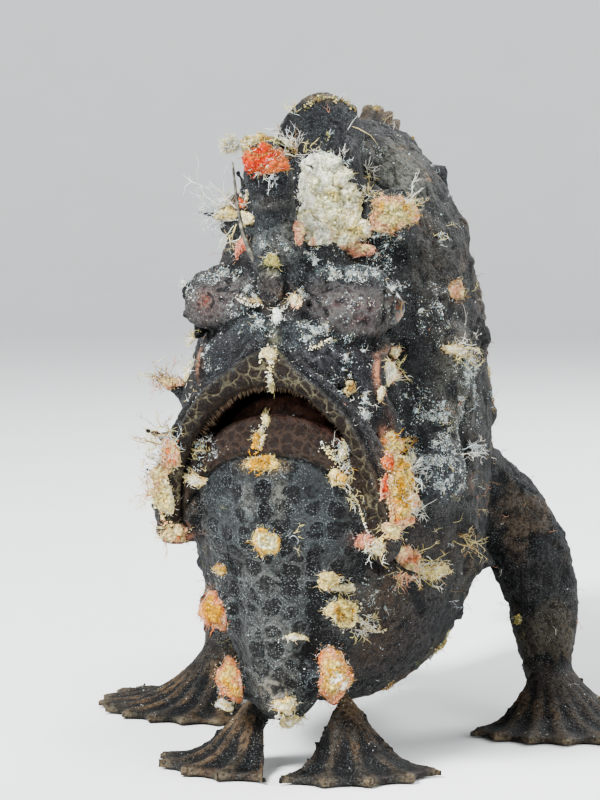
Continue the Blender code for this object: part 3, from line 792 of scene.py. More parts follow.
# Outline of the trunk and the sheets of the fins, as the solids have them. On a sheet, u runs from ray to
# ray and v from root to tip.
TRUNK_S = (3.0, 7.0, 12.0, 17.0, 21.0, 28.0, 38.0, 50.0, 62.0, 72.0, 80.0, 88.5)
TRUNK_TOP = (47.0, 51.5, 55.5, 59.5, 63.0, 67.0, 66.5, 61.5, 52.5, 43.5, 38.6, 37.6)
TRUNK_BOTTOM = (18.0, 11.0, 8.0, 6.2, 5.4, 4.8, 4.8, 6.6, 12.0, 18.6, 22.8, 23.8)
WRIST = (18.8, 45.6, 5.2)
ROOT_SUNK = 2.5  # how deep the roots of the rays lie in the trunk
RAY_STOPS = 7
RAY_WIDTH = 0.75


def dorsal_place(u, v):
    s = 33.0 + 46.0 * u
    height = 2.5 + float(np.interp(u, (0, 0.35, 0.7, 1.0), (3.5, 7.0, 11.5, 8.5)))
    lean = math.radians(48 - 6 * u)
    z = float(np.interp(s, TRUNK_S, TRUNK_TOP)) - ROOT_SUNK + v * height * math.cos(lean)
    return (0.5 * math.sin(3 * math.pi * u) * v, s + v * height * math.sin(lean), z)


def anal_place(u, v):
    s = 61.0 + 15.0 * u
    height = 10.5 + 2.0 * math.sin(math.pi * u)
    lean = math.radians(38 - 8 * u)
    root = float(np.interp(s, TRUNK_S, TRUNK_BOTTOM)) + ROOT_SUNK
    return (0.0, s + v * height * math.sin(lean), root - v * height * math.cos(lean))


def tail_place(u, v):
    spread = math.radians(-42 + 84 * u) * 0.62
    reach = v * (TAIL_FIN_LENGTH + 1.5) * (1 - 0.2 * (2 * u - 1) ** 2)
    z = 30.7 + 5.6 * (2 * u - 1) + reach * math.sin(spread)
    return (0.0, BODY_LENGTH - 1.5 + reach * math.cos(spread), z)


def hand_place(side):
    def at(u, v):
        heading = math.radians(-28 + 142 * u)
        reach = 1.2 + v * (13.0 + 1.6 * math.sin(math.pi * u))
        x = WRIST[0] + reach * math.sin(heading)
        return (side * x, WRIST[1] - reach * math.cos(heading), 0.4 + 6.6 * (1 - min(v / 0.7, 1.0)) ** 2)

    return at


def pelvic_place(side):
    def at(u, v):
        heading = math.radians(-18 + 100 * u)
        x = 4.2 + v * 11.5 * math.sin(heading)
        return (side * x, 13.0 - v * 11.5 * math.cos(heading), 0.4 + 8.4 * (1 - min(v / 0.75, 1.0)) ** 2)

    return at


FIN_SHEETS = [(dorsal_place, 13), (anal_place, 7), (tail_place, 9)]
FIN_SHEETS += [(hand_place(side), 10) for side in SIDES.values()]
FIN_SHEETS += [(pelvic_place(side), 5) for side in SIDES.values()]


def ray_fields(points, fins):
    """For each place on a fin: how near it is to a ray, from 0 to 1, and how far out it lies, from 0 to 1."""
    near = np.zeros(len(points))
    out = np.zeros(len(points))
    chosen = np.nonzero(fins > 0.15)[0]
    some = points[chosen]
    best = np.full(len(some), 1e9)
    for sheet, rays in FIN_SHEETS:
        for k in range(rays):
            stops = [np.array(to_row(*sheet(k / (rays - 1), v))) for v in np.linspace(0, 1, RAY_STOPS)]
            for i, (a, b) in enumerate(zip(stops, stops[1:])):
                away = near_path(some, (a, b))
                along = np.clip(((some - a) @ (b - a)) / max((b - a) @ (b - a), 1e-9), 0, 1)
                closer = away < best
                best[closer] = away[closer]
                out[chosen[closer]] = (i + along[closer]) / (RAY_STOPS - 1)
    near[chosen] = bell(best, RAY_WIDTH)
    return near, out


# Stains: across and down in the front view, radii in millimetres, colour, strength, and for some a mark:
# the brows' reddish cells follow one, and the chin's discs run together in the other.
STAINS = (
    # The brow on the left of the view, the nose, and the brow on the right.
    (214, 300, 3.4, 2.8, "5a504d", 0.75, "brow"),
    (207, 301, 1.5, 1.6, "6d483a", 0.6),
    (205, 301, 0.5, 0.65, "b4592d", 0.85),
    (208, 281, 2.8, 0.7, "242124", 0.8),
    (236, 287, 1.8, 1.1, "74706a", 0.6),
    (199, 334, 1.1, 0.9, "060506", 1.0),
    (271, 287, 0.9, 1.3, "4d4540", 0.75),
    (271, 274, 0.7, 0.3, "7e7a68", 0.7),
    (272, 261, 0.6, 0.9, "83824f", 0.8),
    (266, 308, 0.6, 0.6, "3a2410", 0.9),
    (285, 298, 0.8, 0.9, "6d543c", 0.7),
    (350, 306, 4.4, 2.6, "565150", 0.7, "brow"),
    (350, 272, 4.2, 0.9, "596062", 0.6),
    (368, 283, 2.4, 0.6, "14151c", 0.85),
    (368, 350, 2.6, 1.0, "3a2a29", 0.6),
    (357, 304, 0.7, 0.45, "66373a", 0.85),
    (373, 306, 0.6, 0.5, "63383a", 0.85),
    (336, 304, 0.6, 0.5, "5c4240", 0.8),
    (362, 321, 0.8, 0.45, "6a423c", 0.85),
    (366, 331, 2.2, 0.4, "6f6a60", 0.45),
    (386, 306, 0.8, 1.8, "605c54", 0.6),
    (394, 306, 0.3, 1.6, "4e3d26", 0.7),
    (376, 344, 2.4, 0.9, "2c1c1b", 0.7),
    # The snout, the peak of the lip and the cheeks.
    (296, 333, 3.4, 1.6, "30383d", 0.7),
    (242, 325, 2.8, 1.5, "262f34", 0.7),
    (274, 340, 0.5, 1.3, "7d7958", 0.7),
    (272, 357, 0.8, 0.7, "cdc392", 0.95),
    (216, 362, 3.0, 2.4, "191b20", 0.9),
    (345, 372, 3.4, 2.6, "25242c", 0.8),
    (322, 355, 2.0, 1.2, "46464c", 0.5),
    (377, 370, 0.32, 2.0, "cf8d66", 0.85),
    (387, 349, 0.9, 0.6, "b98a66", 0.7),
    # Painted shade in the recess behind the right cheek's edge, where the face stands before the flank.
    (398, 376, 1.4, 3.4, "050506", 1.0),
    (404, 408, 1.8, 2.4, "0a090a", 0.9),
    (199, 362, 0.35, 1.5, "b08468", 0.8),
    (182, 395, 1.2, 2.4, "101014", 0.9),
    # The chin: two pale bars, the dark oval between them, haze and shadow.
    (247, 502, 0.75, 1.7, "6c6b62", 0.8),
    (280, 502, 0.85, 1.8, "706e63", 0.8),
    (263, 492, 0.75, 0.9, "191516", 1.0),
    (264, 510, 0.55, 0.9, "33271f", 0.9),
    (232, 512, 1.6, 2.2, "5d6062", 0.5),
    (300, 520, 1.8, 1.6, "4c4f51", 0.5),
    (330, 535, 3.0, 2.0, "17171c", 0.7),
    (213, 478, 2.2, 3.0, "0c0d10", 0.9, "merged"),
    (332, 492, 2.6, 3.2, "0d0d11", 0.9, "merged"),
    (300, 446, 4.6, 1.0, "50392b", 0.6),
    (262, 462, 1.6, 0.8, "96731c", 0.9),
    # The throat.
    (276, 690, 1.9, 1.6, "9a917f", 0.7),
    (272, 572, 4.0, 2.6, "6b6c66", 0.6),
    (272, 640, 3.2, 3.6, "767770", 0.65),
    (375, 592, 4.4, 3.6, "4c3a27", 0.85),
    (372, 640, 3.8, 3.4, "43301f", 0.8),
    (352, 640, 1.4, 1.1, "120d0b", 0.9),
    # The second spine, the hump behind it, the nape and the flank.
    (273, 243, 2.2, 1.4, "5c5f5c", 0.8),
    (270, 200, 1.9, 3.0, "1a1a1e", 0.9),
    (265, 190, 0.8, 0.8, "08080b", 0.95),
    (275, 216, 0.8, 0.9, "08080b", 0.95),
    (324, 116, 5.4, 3.4, "111316", 0.95),
    (318, 134, 4.4, 1.1, "17181b", 1.0),
    (358, 142, 2.6, 1.0, "46484a", 0.6),
    (398, 172, 3.8, 3.4, "77776c", 0.75),
    (352, 168, 2.4, 0.8, "101114", 0.8),
    (395, 245, 2.4, 2.2, "141416", 0.8),
    (418, 372, 2.2, 4.6, "1b191a", 0.6),
    (458, 380, 2.4, 7.0, "6b675b", 0.6),
    (436, 268, 2.6, 4.2, "504a40", 0.7),
    (440, 540, 4.5, 4.0, "3b322a", 0.7),
    (440, 470, 3.6, 3.4, "44474c", 0.6),
    # The flaps at the corners of the mouth, then pale edges.
    (180, 500, 1.6, 2.8, "5d4326", 0.85),
    (372, 500, 1.9, 3.4, "5a4229", 0.85),
    (180, 534, 1.3, 0.9, "c9805a", 0.85),
    (364, 541, 1.2, 0.9, "cc7a52", 0.85),
    (386, 440, 0.7, 1.8, "c98a6c", 0.7),
    (330, 97, 3.2, 0.5, "8a7658", 0.6),
    (268, 204, 1.9, 0.6, "4c4842", 0.8),
    (288, 236, 0.8, 1.6, "6a6b62", 0.6),
)
# Where silt lies thick: across and down in the front view, radii in millimetres and weight.
SILT = (
    # The snout, the nose and the brows.
    (250, 322, 1.9, 1.4, 0.8),
    (318, 327, 2.2, 1.0, 0.8),
    (298, 340, 2.2, 1.0, 0.6),
    (309, 286, 1.4, 1.5, 0.9),
    (252, 288, 0.9, 1.7, 0.7),
    (222, 276, 2.6, 0.8, 0.8),
    (238, 312, 1.6, 1.0, 0.6),
    (190, 290, 0.6, 2.4, 0.8),
    (356, 274, 4.2, 0.9, 1.0),
    (389, 280, 1.0, 2.4, 0.8),
    (400, 300, 0.9, 3.0, 0.7),
    (322, 256, 1.8, 1.0, 1.0),
    (380, 262, 1.8, 1.2, 0.7),
    (346, 343, 1.6, 1.0, 0.9),
    (350, 308, 3.6, 1.6, 0.3),
    # The cheeks and the flank.
    (212, 360, 1.4, 2.4, 0.4),
    (194, 392, 1.2, 1.2, 0.9),
    (345, 370, 3.0, 2.4, 0.45),
    (366, 408, 1.2, 2.2, 0.6),
    (432, 318, 3.0, 3.0, 0.5),
    (430, 420, 4.0, 2.6, 0.9),
    (468, 386, 2.0, 4.0, 0.8),
    (446, 470, 3.8, 3.2, 0.9),
    # The jaw, the flaps and the throat.
    (346, 470, 1.6, 2.4, 0.6),
    (205, 455, 1.4, 1.8, 0.7),
    (178, 508, 1.2, 1.6, 0.6),
    (374, 505, 1.4, 2.8, 0.6),
    (290, 650, 3.0, 4.0, 0.3),
    (372, 600, 4.4, 4.0, 0.45),
    (222, 590, 1.6, 4.6, 0.5),
    # Broad and thin over the snout, then the lip, the nape and the foot of the spine.
    (284, 325, 5.0, 2.4, 0.28),
    (352, 398, 1.8, 1.8, 0.5),
    (370, 150, 3.0, 1.6, 0.5),
    (385, 235, 2.4, 1.2, 0.7),
    (274, 246, 2.2, 0.9, 0.6),
)
STAIN_EDGE = 1.35  # over 1, so that an oval is full over its middle and not only at its centre
SILT_EDGE = 1.3
STAIN_DEPTH = 1.8  # a stain's reach into the picture, as a share of its larger radius


def view_weight(points, surface, across, down, wide, tall, edge):
    """1 in the middle of an oval seen in the front view, falling to 0 past its edge."""
    right, up, back, _ = view_axes()
    off = points - np.array(surface.seen(across, down)[0])
    deep = max(max(wide, tall) * STAIN_DEPTH, 1.2)
    away = (off @ np.array(right) / wide) ** 2 + (off @ np.array(up) / tall) ** 2
    return np.minimum(1.0, edge * np.exp(-1.2 * (away + (off @ np.array(back) / deep) ** 2)))


def paint_skin(obj, surface, fins, rays, out):
    """Writes the markings into the mesh: stains, net, lips, silt and fins."""
    points = surface.points
    x, s, z = to_fish(points)
    tint = np.tile(np.array(linear("26252a")), (len(points), 1))
    amount = np.zeros(len(points))

    def stain(weight, colour, strong):
        nonlocal tint, amount
        share = np.clip(weight * strong, 0, 1)
        rest = amount * (1 - share)
        total = np.maximum(share + rest, 1e-6)
        tint = (tint * rest[:, None] + np.array(linear(colour)) * share[:, None]) / total[:, None]
        amount = share + rest

    # Broad clouds, the saddles and warts of the rear, and the fins.
    flesh = 1 - fins
    behind = ramp(18, 26, s)
    broad = layered(points, 11.0, 3, 71)
    stain(ramp(0.15, 0.8, broad), "383130", 0.8)
    stain(ramp(0.2, 0.9, -broad), "1b1c20", 0.8)
    stain(ramp(0.15, 0.7, layered(points, 4.0, 3, 75)) * behind * flesh, "63523f", 0.7)
    stain(ramp(24, 8, z) * ramp(14, 30, s) * flesh, "4e4640", 0.5)
    wart, _ = cells(points, 9.0, 91)
    bent = points + 1.6 * np.stack([noise(points, 2.2, k) for k in (191, 193, 197)], 1)
    saddle, _ = cells(bent, 15.0, 199)
    stain((1 - ramp(0.3, 0.42, saddle)) * behind * flesh, "57503f", 0.55)
    stain(bell(saddle - 0.42, 0.05) * behind * flesh, "0a0a0c", 0.8)
    stain((1 - ramp(0.06, 0.17, wart)) * behind * flesh, "7a5236", 0.7)
    stain(fins, "30281f", 0.85)
    stain(fins * ramp(0.0, 0.7, layered(points, 4.2, 3, 77)), "6e563a", 0.75)
    stain(fins * rays * (0.4 + 0.6 * ramp(-0.2, 0.3, noise(points, 1.9, 79))), "8a7356", 0.55)
    spot, _ = cells(points, 5.2, 93)
    stain(fins * (1 - ramp(0.16, 0.26, spot)), "0e0c0c", 0.9)
    stain(fins * ramp(0.86, 0.96, out), "82735a", 0.6)
    marked = {"brow": np.zeros(len(points)), "merged": np.zeros(len(points))}
    for *oval, colour, strong, mark in (row if len(row) > 6 else (*row, None) for row in STAINS):
        weight = view_weight(points, surface, *oval, STAIN_EDGE)
        stain(weight, colour, strong)
        if mark:
            marked[mark] = np.maximum(marked[mark], weight)

    # The lips, the gape and the crease under the lower lip.
    share = gape_share(x, z)
    rim = lip_rim(x, z)
    front = 1 - ramp(8.0, 10.5, s)
    upper = ramp(0.97, 1.0, share) * (1 - ramp(-0.02, 0.02, share - rim)) * front * ramp(24, 26, z)
    lower = (1 - ramp(0.93, 0.97, share)) * ramp(-0.15, 0.15, z - lower_crease(x)) * front * ramp(24, 27, z)
    inside = (1 - ramp(1.0, 1.03, share)) * ramp(2.4, 3.6, s) * (1 - ramp(20, 22, s)) * ramp(32.8, 33.6, z)
    toothed = (1 - ramp(0.0, 0.045, share - 1.0)) * upper * ramp(30, 33, z)
    lip = np.clip(upper * (1 - toothed), 0, 1) * (1 - inside)
    stain(lower, "30251e", 0.9)
    stain(toothed, "1d120d", 1.0)
    stain(inside, "6a4236", 1.0)
    stain(bell(share - rim, 0.012) * front * ramp(25, 28, z), "625d50", 0.45)
    crease_line = bell(z - lower_crease(x) - 0.2, 0.13) * front * (1 - ramp(0.9, 0.95, share))
    stain(crease_line, "8c8672", 0.6)
    stain(bell(share - 0.785, 0.012) * front * ramp(34, 36, z), "5f5043", 0.5)

    chin = (1 - ramp(-0.4, 0.3, z - lower_crease(x))) * (1 - ramp(0.95, 1.0, share)) * front
    net = 0.1 + 0.9 * chin * (1 - 0.7 * marked["merged"]) + 0.3 * ramp(0.0, 0.6, noise(points, 7.0, 81))
    net = np.clip(net, 0, 1) * (1 - lip) * (1 - toothed) * (1 - inside) * (1 - lower) * (1 - 0.8 * fins)

    silt = np.zeros(len(points))
    for *oval, weight in SILT:
        silt = np.maximum(silt, weight * view_weight(points, surface, *oval, SILT_EDGE))
    top = ramp(0.1, 0.8, surface.facing[:, 2])
    silt = np.clip(silt + 0.05 * top + 0.008, 0, 1) * (1 - 0.9 * inside) * (1 - 0.8 * toothed)
    silt *= (1 - 0.85 * lip) * (1 - 0.7 * chin)
    patchy = 0.08 + 0.92 * ramp(-0.1, 0.4, noise(points, 1.1, 95) + 0.5 * noise(points, 0.5, 97))
    STORE["silt"] = silt * patchy

    pairs = edges(obj.data)
    set_colour(obj.data, "tint", tint)
    marks = {
        "stain": amount,
        "net": net,
        "lip": lip,
        "lower_lip": np.maximum(lower * (1 - inside), toothed),
        "brow": marked["brow"] * (1 - lip),
        "speck": STORE["silt"],
        # How hollow each place is: the skin's material paints shade into the grooves and a highlight onto the
        # ridges from it.
        "hollow": 0.5 + 0.5 * hollows(points, surface.facing, pairs),
    }
    for name, values in marks.items():
        set_float(obj.data, name, relaxed(values, pairs, 0.5, 1))


def unwrap_guide(obj):
    """A light copy of the skin, unwrapped, that gives every place on it a place on a flat sheet."""
    guide = linked("unwrap_guide", obj.data.copy())
    thin = guide.modifiers.new("thin", "DECIMATE")
    thin.ratio = 0.07
    apply_all(guide)
    in_edit_mode(bpy.ops.uv.smart_project, angle_limit=math.radians(66), island_margin=0.003)
    mesh = guide.data
    points = positions(mesh)
    flat = read(mesh.uv_layers.active.data, "uv", 2)
    corners = [tuple(p.vertices) for p in mesh.polygons]
    sheets = [flat[p.loop_start : p.loop_start + p.loop_total] for p in mesh.polygons]
    STORE["guide"] = (BVHTree.FromPolygons(points.tolist(), corners), points, corners, sheets)
    bpy.data.objects.remove(guide, do_unlink=True)


def sheet_place(point):
    """Where a place on the skin falls on the unwrap."""
    tree, points, corners, sheets = STORE["guide"]
    near, _, index, _ = tree.find_nearest(point)
    a, b, c = (points[k] for k in corners[index][:3])
    solved = np.linalg.lstsq(np.stack([b - a, c - a], 1), np.array(near) - a, rcond=None)[0]
    u, v = np.clip(solved, 0, 1)
    sheet = sheets[index]
    return sheet[0] + u * (sheet[1] - sheet[0]) + v * (sheet[2] - sheet[0])


class FROGFISH_OT_skin(Operator):
    """Builds the one skin over head, jaw, trunk, tail and fins"""

    bl_idname = "frogfish.skin"
    bl_label = "Skin"

    def execute(self, context):
        settings = context.scene.frogfish_skin
        obj = flesh_mesh(settings)
        mesh = obj.data
        points = positions(mesh)
        pairs = edges(mesh)
        fins = relaxed(nearest_part(points), pairs, 0.5, 4)
        _, s, _ = to_fish(points)
        weight = 0.5 * (1 - 0.72 * fins) * (0.55 + 0.45 * ramp(9, 16, s))
        points = relaxed(points, pairs, weight, 9)
        move_to(mesh, points)
        points -= read(mesh.vertices, "normal") * (SEAM_REACH + settings.coat * 1000)
        move_to(mesh, points)
        set_float(mesh, "fin", fins)

        refine_face(obj)
        fins = read(mesh.attributes["fin"].data, "value", 1)[:, 0]
        points = relaxed(positions(mesh), edges(mesh), 0.5 * (1 - fins), 2)
        move_to(mesh, points)

        x, s, z = to_fish(points)
        facing = read(mesh.vertices, "normal")
        face = 1 - ramp(11, 14, s)
        calm = 1 - 0.45 * face
        rays, _ = ray_fields(points, fins)
        height = body_relief(points, fins) * calm + mouth_relief(x, s, z) * face
        height += along_folds(points, Surface(obj)) + 0.3 * fins * (rays - 0.4)
        on_floor = ramp(0.5, 1.6, z)
        points = points + facing * (height * on_floor)[:, None]
        points[:, 2] = np.maximum(points[:, 2], LOWEST)
        move_to(mesh, points)

        mesh.calc_loop_triangles()
        thin = obj.modifiers.new("thin", "DECIMATE")
        thin.ratio = min(1.0, settings.triangles / len(mesh.loop_triangles))
        apply_all(obj)
        bpy.ops.object.shade_smooth()
        mesh = obj.data
        mesh.materials.clear()
        mesh.materials.append(skin_material(settings))
        surface = Surface(obj)
        fins = relaxed(nearest_part(surface.points), edges(mesh), 0.5, 4)
        paint_skin(obj, surface, fins, *ray_fields(surface.points, fins))
        STORE["surface"], STORE["fins"] = surface, fins
        unwrap_guide(obj)
        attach(obj, "root")
        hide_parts(*FLESH)
        return {"FINISHED"}


# ---- eyes

EYE_SHOWN = 0.00125  # radius of the iris; past it the ball is marked as the skin is
CORNEA = 0.08  # how far the cornea stands out, in millimetres


def eye_material(settings, side, centre):
    """A wet eye: a dark pupil, and an iris streaked outwards."""
    made, nodes, shader, place = new_material(f"eye_{side}")
    off = nodes.vector("SUBTRACT", place, tuple(centre))
    _, forward, up = nodes.add("ShaderNodeSeparateXYZ", 0, off).outputs
    angle = nodes.math("ARCTAN2", up, forward)
    out = nodes.math("SQRT", nodes.math("ADD", nodes.times(up, up), nodes.times(forward, forward)))
    spokes = [nodes.times(nodes.math(wave, angle), 5.0) for wave in ("COSINE", "SINE")]
    given = (0, spokes[0], 1, spokes[1], 2, nodes.times(out, 350.0))
    spun = nodes.add("ShaderNodeCombineXYZ", *given).outputs[0]
    streak = nodes.ramp(nodes.noise(spun, 2.2, 3.0, 0.65), 0.5, 0.6)
    iris = nodes.mix(streak, settings.dark, settings.iris)
    dots, _ = stipple(nodes, place, 4200.0, 3400.0, 0.3)
    iris = nodes.mix(nodes.times(dots, 0.45), iris, linear("77745c"))
    halo = nodes.ramp(out, settings.pupil * 1.05, settings.pupil * 1.4, 0.45, 0.0)
    iris = nodes.mix(halo, iris, linear("a5803c"))
    pupil = nodes.ramp(out, settings.pupil * 0.92, settings.pupil * 1.04, 1.0, 0.0)
    ball = nodes.mix(pupil, iris, (0.002, 0.002, 0.003))
    lid = nodes.mix(dots, linear("141416"), linear("6a6d66"))
    colour = nodes.mix(nodes.ramp(out, EYE_SHOWN, EYE_SHOWN * 1.2), ball, lid)
    nodes.feed(shader, "Base Color", colour, "Coat Weight", 0.35, "Coat Roughness", 0.12)
    nodes.feed(shader, "Roughness", nodes.ramp(out, EYE_SHOWN, EYE_SHOWN * 1.2, 0.18, 0.65))
    return made


class FROGFISH_OT_eyes(Operator):
    """Builds both eyes as clear-coated balls with a low cornea"""

    bl_idname = "frogfish.eyes"
    bl_label = "Eyes"

    def execute(self, context):
        for side, turn in SIDES.items():
            centre = to_row(turn * EYE[0], *EYE[1:])
            choose()
            bpy.ops.mesh.primitive_uv_sphere_add(
                segments=48,
                ring_count=32,
                radius=EYE_RADIUS * MM,
                location=centre * MM,
                rotation=(0.0, math.radians(90), 0.0),
            )
            ball = bpy.context.object
            ball.name = f"eyeball_{side}"
            bpy.ops.object.transform_apply(location=True, rotation=True, scale=True)
            points = positions(ball.data)
            out = points - np.array(centre)
            ring = np.sqrt(out[:, 1] ** 2 + out[:, 2] ** 2)
            points[:, 0] += turn * CORNEA * bell(ring, 1.0) * (out[:, 0] * turn > 0)
            move_to(ball.data, points)
            bpy.ops.object.shade_smooth()
            ball.data.materials.append(eye_material(context.scene.frogfish_eyes, side, centre * MM))
            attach(ball, "root")
            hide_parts(f"eye_{side}")
        return {"FINISHED"}


# ---- growth

OCTAHEDRON = (
    np.array([(1, 0, 0), (-1, 0, 0), (0, 1, 0), (0, -1, 0), (0, 0, 1), (0, 0, -1)], float),
    np.array([(0, 2, 4), (2, 1, 4), (1, 3, 4), (3, 0, 4), (2, 0, 5), (1, 2, 5), (3, 1, 5), (0, 3, 5)]),
)
PATCH = 0.003  # side of each small shape's patch on the unwrap


def ball_template():
    bm = bmesh.new()
    bmesh.ops.create_icosphere(bm, subdivisions=1, radius=1.0)
    bm.verts.ensure_lookup_table()
    points = np.array([v.co for v in bm.verts])
    faces = np.array([[v.index for v in f.verts] for f in bm.faces])
    bm.free()
    return points, faces


class Heap:
    """Gathers many small closed shapes into one mesh, each with its colour and its patch on the unwrap."""

    def __init__(self):
        self.points, self.faces, self.colours, self.sheet = [], [], [], []
        self.count = 0

    def add(self, points, faces, colour, root):
        """Points in millimetres around a root on the skin; colour is one for all or one for each point."""
        off = points - np.array(root)
        size = max(float(np.abs(off).max()), 1e-3)
        flat = off[:, [0, 2]] + 0.5 * off[:, [1, 1]]
        self.sheet.append(sheet_place(root) + flat / (1.5 * size) * PATCH / 2)
        points = np.array(points, float)
        points[:, 2] = np.maximum(points[:, 2], LOWEST)
        self.points.append(points)
        self.faces.extend((np.asarray(face) + self.count).tolist() for face in faces)
        self.colours.append(np.broadcast_to(np.asarray(colour, float), (len(points), 3)))
        self.count += len(points)

    def finish(self, name, material, smooth=True):
        mesh = bpy.data.meshes.new(name)
        points = np.concatenate(self.points)
        mesh.from_pydata((points * MM).tolist(), [], self.faces)
        set_colour(mesh, "growth_colour", np.concatenate(self.colours))
        layer = mesh.uv_layers.new(name="OFBake")
        loops = read(mesh.loops, "vertex_index", 1, np.int64)[:, 0]
        sheet = np.clip(np.concatenate(self.sheet), 0.0, 1.0)
        layer.data.foreach_set("uv", sheet[loops].ravel())
        obj = linked(name, mesh)
        if smooth:
            choose(obj)
            bpy.ops.object.shade_smooth()
        mesh.materials.append(material)
        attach(obj, "root")
        return obj


def jolt(rng):
    return Vector(rng.normal(size=3))


def any_turn(rng):
    return np.array(jolt(rng).normalized().to_track_quat("Z", "Y").to_matrix())


def varied(colour, rng, amount=0.22):
    bright = 1 + amount * rng.uniform(-1, 1)
    return np.clip(np.array(colour) * bright * (1 + 0.06 * rng.uniform(-1, 1, 3)), 0, 1)


def blended(palette, share):
    """Colours read from a row of colours at shares from 0 to 1, running into each other."""
    row = np.array(palette)
    at = np.clip(np.atleast_1d(share), 0, 1) * (len(row) - 1)
    low = np.minimum(at.astype(int), max(len(row) - 2, 0))
    part = (at - low)[:, None]
    return row[low] * (1 - part) + row[np.minimum(low + 1, len(row) - 1)] * part


def growth_tone(points, middle, edge, outs):
    """Colour of a crust at places in millimetres: it changes slowly over the crust, and towards its edge."""
    cloud = 0.5 + 0.75 * noise(points, 0.75, 23) + 0.3 * noise(points, 0.22, 29)
    share = ramp(0.45, 0.85, outs + 0.25 * noise(points, 0.5, 31))[:, None]
    return blended(middle, cloud) * (1 - share) + blended(edge, cloud) * share


def lump(heap, rng, place, normal, radius, colour, ball):
    """One rounded, uneven lump of crust, half sunk in what it grows on."""
    points, faces = ball
    shape = points * (1 + 0.28 * rng.uniform(-1, 1, (len(points), 1)))
    shape = shape * rng.uniform(0.7, 1.25, 3)
    turn = any_turn(rng)
    at = np.array(place) + np.array(normal) * radius * 0.35
    heap.add(shape @ turn.T * radius + at, faces, varied(colour, rng), place)


